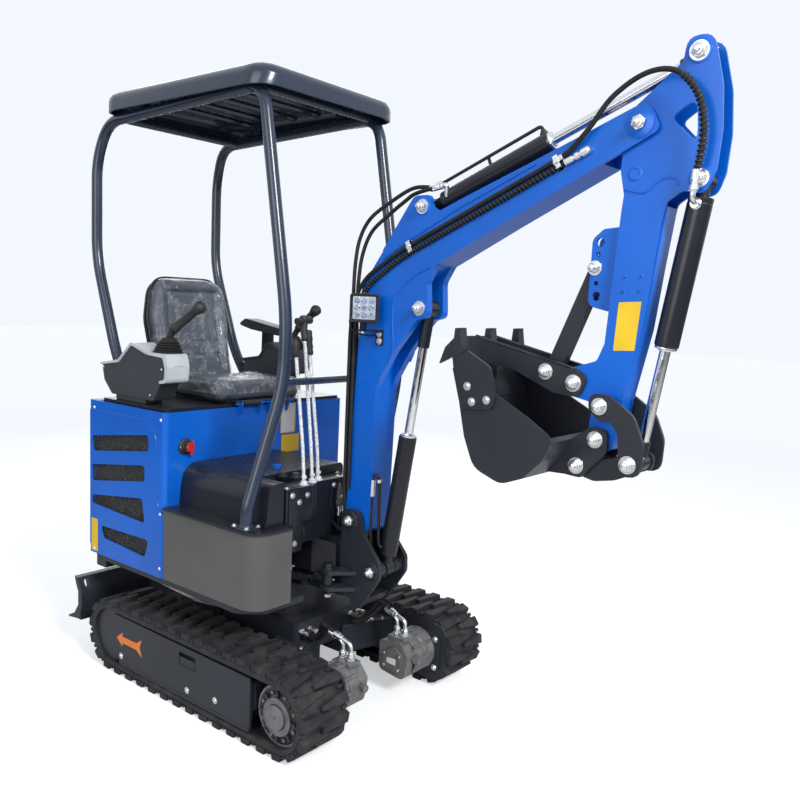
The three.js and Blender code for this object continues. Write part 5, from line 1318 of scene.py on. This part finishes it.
elbow = Piece().swept(route([at(1517, -70, 1784), at(1515, -70, 1756), at(1512, -26, 1750)], 20), 7.5)
elbow.turned(at(1516, -70, 1788), Vector((-0.04, 0, -1)), [(0, 9), (1, 11), (12, 11), (13, 9)], 6)
elbow.turned(at(1512, -44, 1750), Y, [(0, 12), (8, 12), (10, 15), (22, 15)], 20)
elbow.made("bucket_port_elbow", "bucket_barrel", ZINC, "zinc", edge=0.4)

# Behind the knee: from the boom's rear edge to the arm cylinder's base.
ARM_PORT = ARM_BASE + arm_axis * 84 * MM
base_loops = (
    ("knee_loop_outer", [at(350, -54, 1400), at(336, -40, 1500), at(326, -24, 1600), at(334, -14, 1682),
                         at(376, -12, 1748),
                         at(455, -12, 1796), at(560, -12, 1842), pipe_end + Vector((-26, -8, -12)) * MM,
                         pipe_end]),
    ("knee_loop_inner", [at(360, -46, 1420), at(352, -34, 1530), at(356, -22, 1626), at(392, -18, 1704),
                         at(470, -20, 1760),
                         at(540, -26, 1800), at(590, -32, 1822), ARM_PORT + Vector((-16, -40, 30)) * MM]),
)
for name, points in base_loops:
    path = curved(points, 8)
    for piece in hose(name, path, 6.6):
        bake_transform(piece)
fittings = Piece()
ahead = (base_loops[0][1][-1] - base_loops[0][1][-2]).normalized()
fittings.turned(pipe_end - ahead * 46 * MM, ahead, [(0, 8), (2, 10.5), (30, 10.5), (32, 9), (33, 11),
                                                    (44, 11), (45, 8)], 20)
ahead = (base_loops[1][1][-1] - base_loops[1][1][-2]).normalized()
tail = base_loops[1][1][-1]
fittings.turned(tail - ahead * 30 * MM, ahead, [(0, 8), (2, 10.5), (28, 10.5), (30, 9), (31, 11), (40, 11),
                                                (41, 8)], 20)
fittings.swept(route([tail + ahead * 6 * MM, tail + ahead * 26 * MM, ARM_PORT - Y * 26 * MM], 14), 7.5)
fittings.made("arm_base_fittings", "arm_barrel", ZINC, "zinc", edge=0.4)
lead = [at(350, -60, 900), at(351, -58, 1300), at(350, -54, 1400)]
hose("knee_lead_outer", curved(lead, 6), 6.6, "boom_arm")
hose("knee_lead_inner", curved([at(366, -48, 900), at(366, -47, 1300), at(360, -46, 1420)], 6), 6.6,
     "boom_arm")


# ---------------------------------------------------------------- boom and arm trim


BOOM_FACE, ARM_FACE = 58.6, 42.4


def on_boom(t, off, y):
    """A point beside the boom's upper run: share along it, distance above its middle, and y."""
    along = (P_TIP - P_KNEE).normalized()
    up = Vector((-along.z, 0, along.x))
    return P_KNEE.lerp(P_TIP, t) + up * off * MM + Y * y * MM


for side, suffix in SIDES:
    face = side * BOOM_FACE
    weld(f"boom_weld_{suffix}", "boom_arm", BLUE_PAINT, "blue_paint",
         curved([at(x, face, z) for x, z in ((524, 1262), (541, 1310), (534, 1400), (538, 1476), (577, 1525),
                                             (631, 1560), (684, 1582))], 6),
         route([on_boom(0.1, 60, face), on_boom(0.2, 65, face), on_boom(0.42, 70, face),
                on_boom(0.6, 62, face), on_boom(0.7, 58, face)], 40, 6))
    ring = Piece().turned(at(1355, side * 57, 1964), Y * side, [(0, 40), (3.5, 40), (4.5, 38)], 40)
    ring.turned(at(643, side * 57, 1449), Y * side, [(0, 31), (2.5, 31), (3, 29.5)], 36)
    ring.turned(at(632, side * 49, 1776), Y * side, [(0, 30), (2.5, 30), (3, 28.5)], 36)
    ring.made(f"boom_bosses_{suffix}", "boom_arm", BLUE_PAINT, "blue_paint", edge=0.3)
    ring = Piece().turned(at(1494, side * 41, 2132), Y * side, [(0, 32), (3, 32), (3.6, 30.5)], 36)
    ring.turned(at(1521, side * 41, 1814), Y * side, [(0, 30), (3, 30), (3.6, 28.5)], 36)
    ring.made(f"arm_bosses_{suffix}", "dipper", BLUE_PAINT, "blue_paint", edge=0.3)
    bolts = Piece()
    for x, z in ((1338, 1560), (1384, 1562), (1336, 1520), (1382, 1522)):
        bolts.screw(at(x, side * 42, z), Y * side, 4.5)
    bolts.made(f"arm_blanking_screws_{suffix}", "dipper", BLUE_PAINT, "blue_paint", edge=0)

for side, suffix in SIDES:
    face = side * ARM_FACE
    weld(f"arm_weld_{suffix}", "dipper", BLUE_PAINT, "blue_paint",
         curved([at(x, face, z) for x, z in ((1319, 1795), (1374, 1784), (1405, 1806), (1428, 1818),
                                             (1456, 1816), (1469, 1798))], 6))
    boss = Piece().turned(at(1346, side * 41.8, 1836), Y * side,
                          [(0, 21), (1.6, 21), (2.2, 20), (2.2, 14), (0.6, 13)], 32)
    boss.made(f"arm_lock_boss_{suffix}", "dipper", BLUE_PAINT, "blue_paint", edge=0)

label = Piece().across([(1325, 1490, 2), (1390, 1494, 2), (1380, 1360, 2), (1318, 1356, 2)], -42.2, -42.8, 2)
label.made("arm_label", "dipper", LABEL_YELLOW, edge=0)


def work_light():
    """A square lamp with nine lenses, on its bracket, with a short loop of cable."""
    centre = at(449, -110, 1442)
    front = Vector((math.cos(-math.pi / 4), math.sin(-math.pi / 4), 0))
    wide = Vector((-front.y, front.x, 0))
    def slab(half, corner, low, high):
        outline = rounded(squared(half, corner), 5)
        return [centre + wide * p.x * MM + Z * p.y * MM + front * low * MM
                for p in outline], front * (high - low) * MM
    shell = Piece()
    shell.slab(*slab(44, 8, -16, 14))
    for spot in range(-3, 4):
        corners = [centre + wide * a * 40 * MM + Z * (spot * 11 + b) * MM - front * 20 * MM
                   for a, b in ((-1, -1.6), (1, -1.6), (1, 1.6), (-1, 1.6))]
        shell.slab(corners, front * 6 * MM)
    outer, _ = slab(45, 8, 20, 20)
    shell.swept([p - front * 4 * MM for p in outer], 4, 8, closed=True)
    for a in (-1, 1):
        for b in (-1, 1):
            shell.screw(centre + (wide * a * 39 + Z * b * 39 + front * 16) * MM, front, 3.2)
    shell.block(436, 462, -128, -92, 1364, 1370)
    shell.block(441, 457, -118, -102, 1368, 1400)
    shell.block(437, 495, -122, -58.3, 1364, 1370)
    shell.across([(466, 1318, 4), (466, 1370), (496, 1370), (496, 1318, 4)], -58.3, -64.3)
    shell.made("light_shell", "boom_arm", BLACK_PAINT, "black_paint", edge=0.6, replaces=["work_light"])
    cells, lenses = Piece(), Piece()
    cells.slab(*slab(38, 3, 13.5, 14.6))
    for a in (-1, 0, 1):
        for b in (-1, 0, 1):
            spot = centre + (wide * a * 24 + Z * b * 24 + front * 14) * MM
            lenses.turned(spot, front, [(0, 10.5), (2, 10.5), (2.6, 9), (1.2, 4), (1.2, 2)], 20)
    cells.made("light_reflector", "boom_arm", CHROME, "chrome", edge=0)
    lenses.made("light_lenses", "boom_arm", LAMP_LENS, "lamp_glass", edge=0)
    bolts = Piece()
    for x, z in ((482, 1357), (483, 1332)):
        bolts.bolt(at(x, -64.3, z), -Y, 8, 7)
    bolts.bolt(at(449, -110, 1364), -Z, 7, 6)
    bolts.made("light_bolts", "boom_arm", ZINC, "zinc", edge=0.3)
    cable = curved([centre - front * 18 * MM, centre - (front * 34 - wide * 4 + Z * 8) * MM,
                    at(384, -92, 1420),
                    at(366, -88, 1392), at(380, -84, 1362), at(418, -90, 1352), at(452, -84, 1350),
                    at(470, -70, 1352)], 8)
    hose("light_cable", cable, 2.6, "boom_arm")


work_light()


# ---------------------------------------------------------------- bucket, thumb and bracket trim


def bucket_trim():
    bolts = Piece()
    for side, _ in SIDES:
        for x, z in ((943, 1229), (961, 1185), (1012, 1195)):
            bolts.bolt(at(x, side * 199, z), Y * side, 8.5, 8)
    bolts.made("cutter_bolts", "bucket_body", ZINC, "zinc", edge=0.4)
    teeth = Piece()
    for y in (-165, 0, 165):
        teeth.across([(903, 1300, 4), (873, 1300, 4), (870, 1330, 4), (877, 1395), (896, 1396),
                      (906, 1330, 4)], y - 17, y + 17, 3)
        teeth.across([(908, 1250, 4), (884, 1240, 4), (872, 1306, 4), (907, 1306, 4)], y - 16, y + 16, 3)
        teeth.bar(at(888, y - 19, 1318), at(888, y + 19, 1318), 5, 12)
    teeth.made("bucket_tooth_points", "bucket_body", CHARCOAL_PAINT, "charcoal_paint", edge=2)
    weld("bucket_welds", "bucket_body", CHARCOAL_PAINT, "charcoal_paint",
         *[[at(1132, s * 63, 993), at(1186, s * 63, 1046), at(1220, s * 63, 1100)] for s in (-1, 1)])
    lip = Piece().across([(882, 1274), (912, 1182), (922, 1186), (893, 1278)], -189, 189)
    lip.made("bucket_lip", "bucket_body", CHARCOAL_PAINT, "charcoal_paint", edge=1)


bucket_trim()


def thumb_trim():
    saw = Piece()
    a, b = Vector((864, 1372)), Vector((1196, 1299))
    count = 44
    for side, _ in SIDES:
        for k in range(count):
            low, high = a.lerp(b, k / count), a.lerp(b, (k + 0.86) / count)
            top = (low + high) / 2 + Vector((0.2, 1)).normalized() * 5
            saw.across([tuple(low - Vector((0, 3))), tuple(high - Vector((0, 3))), tuple(top)], side * 42.3,
                       side * 54.3)
    saw.made("thumb_saw_edge", "dipper", CHARCOAL_PAINT, "charcoal_paint", edge=0)
    weld("thumb_weld", "dipper", CHARCOAL_PAINT, "charcoal_paint",
         [at(960, -41, 1330), at(1004, -41, 1324)], [at(960, 41, 1330), at(1004, 41, 1324)])


thumb_trim()


def bracket_trim():
    head = Piece()
    head.turned(at(320, 0, 612), Z, [(0, 40), (8, 40), (12, 36), (12, 26), (30, 25), (36, 20)], 36)
    head.turned(at(340, -125, 516), Z, [(0, 26), (4, 26), (5, 20), (18, 19), (22, 15)], 30)
    head.turned(at(340, -125, 444), -Z, [(0, 24), (4, 24), (5, 17), (16, 16), (18, 12)], 30)
    head.made("swing_pin_heads", "bracket", BLACK_PAINT, "black_paint", edge=1)
    nuts = Piece()
    nuts.turned(at(340, -125, 424), -Z, [(0, 13), (10, 13), (11, 11)], 6)
    nuts.turned(at(320, 0, 640), Z, [(0, 4), (6, 4), (7, 2.5), (12, 2.6), (13, 1.4)], 10)
    nuts.made("swing_pin_nuts", "bracket", ZINC, "zinc", edge=0.4)
    nuts = Piece().bolt(at(-90, -215, 521), Z, 14, 10)
    nuts.made("swing_base_nut", "house", ZINC, "zinc", edge=0.4)
    for side, suffix in SIDES:
        ring = Piece().turned(at(394, side * 79, 694), Y * side, [(0, 36), (3, 36), (4, 34)], 36)
        ring.turned(at(501, side * 79, 531), Y * side, [(0, 32), (3, 32), (4, 30)], 36)
        ring.made(f"bracket_bosses_{suffix}", "bracket", CHARCOAL_PAINT, "charcoal_paint", edge=0.4)
    weld("bracket_welds", "bracket", CHARCOAL_PAINT, "charcoal_paint",
         *[[at(378, s * 63, 450), at(378, s * 63, 612)] for s in (-1, 1)])


bracket_trim()


def low_hoses():
    """Hoses between the body, the swing bracket and the boom."""
    routes = (
        ("boom_feed_a", [at(236, -40, 640), at(272, -46, 660), at(306, -52, 652), at(330, -50, 640)],
         [at(330, -50, 640), at(346, -50, 660), at(348, -58, 720), at(349, -64, 770), at(350, -67, 806)]),
        ("boom_feed_b", [at(232, 30, 646), at(270, 26, 668), at(304, 10, 664), at(334, -6, 650)],
         [at(334, -6, 650), at(352, -16, 676), at(344, -36, 740), at(350, -54, 820), at(350, -60, 904)]),
        ("boom_feed_c", [at(234, -6, 664), at(272, -12, 690), at(306, -22, 678), at(338, -30, 656)],
         [at(338, -30, 656), at(356, -34, 680), at(352, -42, 750), at(362, -46, 830), at(366, -48, 904)]),
    )
    for name, lower, upper in routes:
        path = curved(lower, 10)
        for piece in hose(f"{name}_lower", path, 6.6):
            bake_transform(piece)
        path = curved(upper, 10)
        for piece in hose(f"{name}_upper", path, 6.6):
            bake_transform(piece)
    pipe = Piece().swept(route([at(512, -16, 600), at(488, -30, 612), at(486, -32, 700), at(483, -31, 846),
                                at(476, -34, 866), at(460, -38, 860), at(458, -39, 838)], 18, 8), 6, 14)
    pipe.turned(at(526, -10, 600), Vector((-0.85, -0.35, 0)), [(0, 14), (16, 14), (17, 11)], 20)
    pipe.made("boom_cylinder_pipe", "boom_barrel", BLACK_PAINT, "black_paint", edge=0.3)
    joint = Piece().turned(at(458, -39, 846), Vector((-0.02, 0, -1)), [(0, 9), (1, 11), (12, 11), (13, 9)], 6)
    joint.turned(at(457.8, -39, 834), Vector((-0.02, 0, -1)), [(0, 8.5), (2, 10.5), (46, 10.5), (48, 8)], 20)
    joint.turned(at(483, -31, 838), Z, [(0, 9), (1, 10.5), (11, 10.5), (12, 9)], 6)
    joint.made("boom_cylinder_joints", "boom_barrel", ZINC, "zinc", edge=0.4)
    path = curved([at(457, -39, 800), at(455, -40, 740), at(456, -41, 670), at(459, -41, 615),
                   at(452, -38, 570), at(430, -34, 548)], 8)
    for piece in hose("boom_cylinder_hose", path, 6.6):
        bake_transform(piece)


low_hoses()

# ---------------------------------------------------------------- seat

DECK_TOP = 1052.3


VOXEL, CLOTH_PRESSURE, CLOTH_FRAMES = 0.006, 4, 20


def pillow(name, piece, cap):
    """A stuffed piece: a closed shape, blown up by cloth pressure and kept within a cap of its start."""
    bmesh.ops.recalc_face_normals(piece.bm, faces=piece.bm.faces)
    mesh = bpy.data.meshes.new(name)
    piece.bm.to_mesh(mesh)
    piece.bm.free()
    pad = bpy.data.objects.new(name, mesh)
    bpy.context.scene.collection.objects.link(pad)
    remesh = pad.modifiers.new("voxels", "REMESH")
    remesh.mode = "VOXEL"
    remesh.voxel_size = VOXEL
    applied(pad)
    rest = [v.co.copy() for v in pad.data.vertices]
    cloth = pad.modifiers.new("cloth", "CLOTH")
    cloth.settings.use_pressure = True
    cloth.settings.uniform_pressure_force = CLOTH_PRESSURE
    cloth.settings.effector_weights.gravity = 0
    cloth.settings.quality = 5
    cloth.point_cache.frame_start = 1
    cloth.point_cache.frame_end = CLOTH_FRAMES
    for frame_number in range(1, CLOTH_FRAMES + 1):
        bpy.context.scene.frame_set(frame_number)
    applied(pad)
    bpy.context.scene.frame_set(1)
    for vert, start in zip(pad.data.vertices, rest):
        move = vert.co - start
        if move.length > cap * MM:
            vert.co = start + move.normalized() * cap * MM
    return pad


def applied(piece):
    """Turns what the modifiers make into the piece's own mesh."""
    graph = bpy.context.evaluated_depsgraph_get()
    mesh = bpy.data.meshes.new_from_object(piece.evaluated_get(graph))
    piece.modifiers.clear()
    piece.data = mesh


def finished_pad(pad, node):
    """Covers a pad in vinyl, evens its skin and puts it in a CAD node's place."""
    pad.data.materials.clear()
    pad.data.materials.append(VINYL)
    pad.data.shade_smooth()
    smooth = pad.modifiers.new("soft", "SMOOTH")
    smooth.factor, smooth.iterations = 0.5, 3
    applied(pad)
    pad.data.shade_smooth()
    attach(pad, "deck")
    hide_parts(node)
    return pad


def kept_above(pad, height):
    """Presses a pad flat where it rests."""
    for vert in pad.data.vertices:
        vert.co.z = max(vert.co.z, height * MM)


def sewn(pad, point_along, line, depth, width):
    """Draws a seam into a pad: points near the line sink along the given direction."""
    for vert in pad.data.vertices:
        gap = line(vert.co)
        if gap is not None and abs(gap) < 4 * width * MM:
            vert.co += point_along * depth * MM * math.exp(-(gap / (width * MM)) ** 2)


# The cushion in plan, (x, y, corner radius), wider at the front.
CUSHION_OUTLINE = [(-526, -214, 60), (-152, -226, 70), (-152, 226, 70), (-526, 214, 60)]


def seat_cushion():
    """The cushion: crowned, with side rolls, a front roll and sewn channels across."""
    shape = Piece().upright(CUSHION_OUTLINE, DECK_TOP + 17, 1126, 8)
    pad = pillow("seat_cushion_pad", shape, 14)
    for vert in pad.data.vertices:
        co = vert.co
        x, y = co.x / MM + MIDDLE_X, co.y / MM
        if co.z > 1.09:
            bolster = min(max(0, abs(y) - 130) / 90, 1)
            front = min(max(0, x + 262) / 110, 1)
            roll = math.exp(-((x + 164) / 60) ** 2)
            co.z += (10 * bolster ** 2 + 6 * roll - 7 * (1 - bolster) * (1 - front)) * MM

    def rim(co):
        """Distance to the seams along the side rolls."""
        x, y = co.x / MM + MIDDLE_X, co.y / MM
        return (abs(y) - 138) * MM if co.z > 1.1 and x < -196 else None

    def channel(x, reach):
        """Distance to a seam across the cushion."""
        return lambda co: (co.x / MM + MIDDLE_X - x) * MM if co.z > 1.1 and abs(co.y) < reach else None

    sewn(pad, -Z, rim, 7, 5)
    sewn(pad, -Z, channel(-216, 0.145), 7, 5)
    for x in (-306, -396, -480):
        sewn(pad, -Z, channel(x, 0.134), 4, 5)
    kept_above(pad, DECK_TOP + 8)
    return finished_pad(pad, "seat_cushion")


BACK_FOOT, BACK_TOP = at(-578, 0, 1078), at(-668, 0, 1540)
BACK_UP = (BACK_TOP - BACK_FOOT).normalized()
BACK_FORWARD = Y.cross(BACK_UP)


def back_lean(v):
    """How far the seat's back bows away from the sitter at a height."""
    return 10 * math.sin(math.pi * min(max(v, 0), 460) / 460)


def back_frame(u, v, out):
    """A point of the seat's back: u across, v up, and out towards the sitter, in millimetres."""
    return BACK_FOOT + Y * u * MM + BACK_UP * v * MM + BACK_FORWARD * (out - back_lean(v)) * MM


def back_place(co):
    """The (u, v, out) of a point, in millimetres."""
    move = co - BACK_FOOT
    return move.y / MM, move.dot(BACK_UP) / MM, move.dot(BACK_FORWARD) / MM


def back_outline(half, low, shoulder, waist, top, steps):
    """The seat's back seen from the front: narrow at its foot and top, wide at the waist."""
    right = [(half, low, 50), (waist, 300, 200), (shoulder, top, 90)]
    return rounded([(-half, low, 50), *right, (-shoulder, top, 90), (-waist, 300, 200)], steps)


def seat_back():
    """The back: a raised rim round a dished middle with sewn panels, piping, and a plastic shell behind."""
    outline = back_outline(182, 4, 166, 200, 462, 9)
    shape = Piece()
    shape._skin([[shape.bm.verts.new(back_frame(p.x * wide, 6 + (p.y - 6) * high, out)) for p in outline]
                 for out, wide, high in ((-44, 0.93, 0.985), (-38, 0.98, 0.995), (2, 1, 1),
                                         (10, 0.94, 0.985))])
    pad = pillow("seat_back_pad", shape, 10)
    for vert in pad.data.vertices:
        u, v, out = back_place(vert.co)
        if out > -18 - back_lean(v):
            ring = max(abs(u) / 182, abs(v - 235) / 229)
            bulge = 14 * math.exp(-((ring - 0.86) / 0.13) ** 2) - 6 * max(0, 1 - ring / 0.7)
            vert.co += BACK_FORWARD * bulge * MM

    def panel(half_u, low, high):
        """Distance to the seam round a panel."""
        def gap(co):
            u, v, out = back_place(co)
            if out < -16:
                return None
            across, along = abs(u) - half_u, abs(v - (low + high) / 2) - (high - low) / 2
            return (max(across, along) if max(across, along) < 12 else 99) * MM
        return gap

    def low_seam(co):
        """Distance to the seam across the foot of the panels."""
        u, v, out = back_place(co)
        return (v - 128) * MM if out > -16 and abs(u) < 124 else None

    sewn(pad, -BACK_FORWARD, panel(124, 66, 398), 8, 5)
    sewn(pad, -BACK_FORWARD, panel(84, 190, 346), 5, 4)
    sewn(pad, -BACK_FORWARD, low_seam, 6, 5)
    finished_pad(pad, "seat_back")
    piping = Piece()
    rim = back_outline(184, 8, 168, 202, 464, 12)
    piping.swept([back_frame(p.x, p.y, -16) for p in rim], 4, 10, closed=True)
    piping.made("seat_back_piping", "deck", BLACK_PLASTIC, "vinyl", edge=0)
    shell = Piece()
    rings = [[shell.bm.verts.new(back_frame(p.x * s, 6 + (p.y - 6) * s, out)) for p in rim]
             for out, s in ((-36, 0.99), (-50, 0.985), (-56, 0.95))]
    shell._skin(rings)
    for u in (-120, 120):
        path = [back_frame(u, 90, -56), back_frame(u, 10, -56), back_frame(u, -8, -30), at(-520, u, 1070)]
        shell.swept(route(path, 20), 9, 12)
    shell.made("seat_back_shell", "deck", BLACK_PLASTIC, "black_plastic", edge=1.5)
    return pad


CREASE_SCALE, CREASE_LIFT, FOLD_SCALE, FOLD_LIFT = 9, 5, 20, 1.8


def film(name, source, gap, seed, keep):
    """Clear protective film round a pad: loose, creased and shiny."""
    mesh = source.data.copy()
    wrap = bpy.data.objects.new(name, mesh)
    bpy.context.scene.collection.objects.link(wrap)
    bm = bmesh.new()
    bm.from_mesh(mesh)
    bmesh.ops.delete(bm, geom=[v for v in bm.verts if not keep(v.co)], context="VERTS")
    bm.normal_update()
    for vert in bm.verts:
        spot = vert.co * CREASE_SCALE + Vector((seed, 0, 0))
        crease = 1 - abs(noise.noise(spot)) * 4
        fold = 1 - abs(noise.noise(vert.co * FOLD_SCALE + Vector((seed, 7, 0)))) * 4
        vert.co += vert.normal * (gap + CREASE_LIFT * max(crease, 0) + FOLD_LIFT * max(fold, 0)) * MM
    bm.to_mesh(mesh)
    bm.free()
    mesh.materials.clear()
    mesh.materials.append(CLEAR_FILM)
    mesh.shade_smooth()
    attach(wrap, "deck")


cushion = seat_cushion()
back = seat_back()
film("cushion_film", cushion, 2.0, 3.0, lambda co: co.z > 1.085)
film("back_film", back, 1.5, 11.0, lambda co: back_place(co)[2] > -34)


def seat_mounts():
    rails = Piece()
    for y in (-150, 150):
        rails.block(-510, -180, y - 16, y + 16, DECK_TOP, 1066)
    rails.swept(route([at(-186, -140, 1062), at(-150, -140, 1062), at(-150, 140, 1062), at(-186, 140, 1062)],
                      20), 5, 12)
    rails.made("seat_rails", "deck", BLACK_PAINT, "black_paint", edge=1)


seat_mounts()


# ---------------------------------------------------------------- control pods


def pod(suffix, near, far, front, crest, armrest):
    """A pod in dark plastic, with a pale spine that runs over its top and down its nose."""
    low_y, high_y = sorted((near, far))
    middle = (low_y + high_y) / 2
    spine_plastic = GREY_PLASTIC if suffix == "R" else DARK_PLASTIC
    body = Piece()
    body.across([(-612, 1184, 14), (-596, 1121, 14), (-544, 1071, 14), (front - 92, 1069, 14),
                 (front - 47, 1141, 12),
                 (front - 12, 1150, 14), (front - 9, 1196, 14), (front - 22, 1236, 14),
                 (front - 128, 1238, 20),
                 (crest, 1268, 26), (-496, 1197, 30)], low_y + 6, high_y - 6)
    body.block(-520, -330, low_y + 10, high_y - 10, 1052.6, 1082)
    body.made(f"pod_body_{suffix}", "deck", DARK_PLASTIC, "grey_plastic", edge=3,
              replaces=[f"control_pod_{suffix}"], segments=3)
    spine = Piece()
    spine.across([(front - 52, 1141, 8), (front - 42, 1138, 8), (front - 6, 1144, 20), (front, 1200, 20),
                  (front - 14, 1247, 18),
                  (front - 124, 1247.2, 20), (front - 134, 1238, 6), (front - 30, 1232, 10),
                  (front - 17, 1196, 14),
                  (front - 20, 1154, 12), (front - 48, 1148, 6)], low_y + 1, high_y - 1)
    spine.across([(front - 122, 1247, 6), (crest, 1278, 26), (-496, 1206, 30), (-616, 1187.5, 4),
                  (-613, 1179, 4), (-494, 1196, 30),
                  (crest + 1, 1267, 26), (front - 126, 1237, 6)], low_y + 1, high_y - 1)
    spine.made(f"pod_spine_{suffix}", "deck", spine_plastic, "grey_plastic", edge=3, segments=3)
    dimple = rounded([(middle - 26, 1158, 10), (middle + 26, 1158, 10), (middle + 26, 1204, 12),
                      (middle - 26, 1204, 12)], 6)
    ring = Piece().swept([at(front - 0.4 - (1200 - p.y) * 0.105, p.x, p.y) for p in dimple], 1.5, 8,
                         closed=True)
    ring.made(f"pod_dimple_{suffix}", "deck", spine_plastic, "grey_plastic", edge=0)
    screws = Piece()
    for x, z in ((-598, 1172), (front - 40, 1190), (front - 110, 1090)):
        for y, out in ((low_y + 6, -Y), (high_y - 6, Y)):
            screws.screw(at(x, y, z), out, 4)
    screws.made(f"pod_screws_{suffix}", "deck", ZINC, "zinc", edge=0)
    knobs = Piece()
    for x in (-480, -452):
        knobs.turned(at(x, middle, 1206 + (x + 496) * 0.8), Z, [(0, 12), (9, 12), (11, 9), (16, 8)], 20)
    knobs.made(f"pod_switches_{suffix}", "deck", BLACK_PLASTIC, "black_plastic", edge=0.4)
    if armrest:
        rest = Piece()
        rest.across([(-648, 1340, 14), (-560, 1320, 20), (-380, 1300, 14), (-366, 1332, 14),
                     (-600, 1368, 20)], low_y + 6, high_y - 6)
        rest.made(f"armrest_{suffix}", "deck", BLACK_PLASTIC, "black_plastic", edge=7, segments=4)
        post = Piece().across([(-510, 1190), (-466, 1210), (-466, 1320), (-508, 1330)], low_y + 28,
                              high_y - 28)
        post.made(f"armrest_post_{suffix}", "deck", BLACK_PAINT, "black_paint", edge=1)


POD_TOP = 1247.4

# The folds of a joystick's boot: height above the pod and half its width there.
BOOT_FOLDS = ((0, 43), (4, 44), (8, 38), (13, 42), (17, 35), (22, 39), (26, 32), (31, 36), (35, 28), (40, 31),
              (44, 24), (52, 21), (56, 17))


def stick_control(suffix, near, far, stick, ball):
    """A joystick: folded rubber boot, cranked shaft and a ball-ended grip."""
    middle = (near + far) / 2
    boot = Piece()
    rings = []
    for height, half in BOOT_FOLDS:
        corners = rounded(squared(half, 0.45 * half), 5)
        rings.append([boot.bm.verts.new(at(stick + 0.1 * height + p.x, middle + p.y, POD_TOP + height))
                      for p in corners])
    boot._skin(rings)
    boot.made(f"stick_boot_{suffix}", "deck", HOSE_RUBBER, "hose_rubber", edge=0.8, sharp=30)
    inward = -10 * math.copysign(1, middle)
    base, elbow, tip = at(stick, middle, 1292), at(stick + 26, middle, 1332), at(ball, middle + inward, 1422)
    along, run = (tip - elbow).normalized(), (tip - elbow).length / MM
    grip = Piece().swept(route([base, elbow, elbow + along * 30 * MM], 14), 13, 20)
    grip.turned(elbow, along, [(4, 13), (8, 18), (26, 19), (30, 16), (run - 34, 15.5), (run - 30, 17),
                               (run - 20, 20), (run - 6, 23),
                               (run + 3, 22.5), (run + 10, 17), (run + 14, 7)], 32)
    grip.turned(elbow + along * (run - 8) * MM + (Z * 0.7 - X * 0.5).normalized() * 19 * MM,
                Z * 0.7 - X * 0.5, [(0, 5), (4, 5), (5, 3.5)], 14)
    grip.made(f"stick_grip_{suffix}", "deck", BLACK_PLASTIC, "black_plastic", edge=0.5,
              replaces=[f"joystick_{suffix}"], sharp=50)


# Each side's pod: its near and far faces in y, its nose and crest in x, its stick's foot and ball in x, and
# whether it carries an armrest.
PODS = (
    ("R", -342, -440, -182, -412, -246, -72, False),
    ("L", 262, 352, -262, -440, -326, -178, True),
)

for suffix, near, far, front, crest, stick, ball, armrest in PODS:
    pod(suffix, near, far, front, crest, armrest)
    stick_control(suffix, near, far, stick, ball)
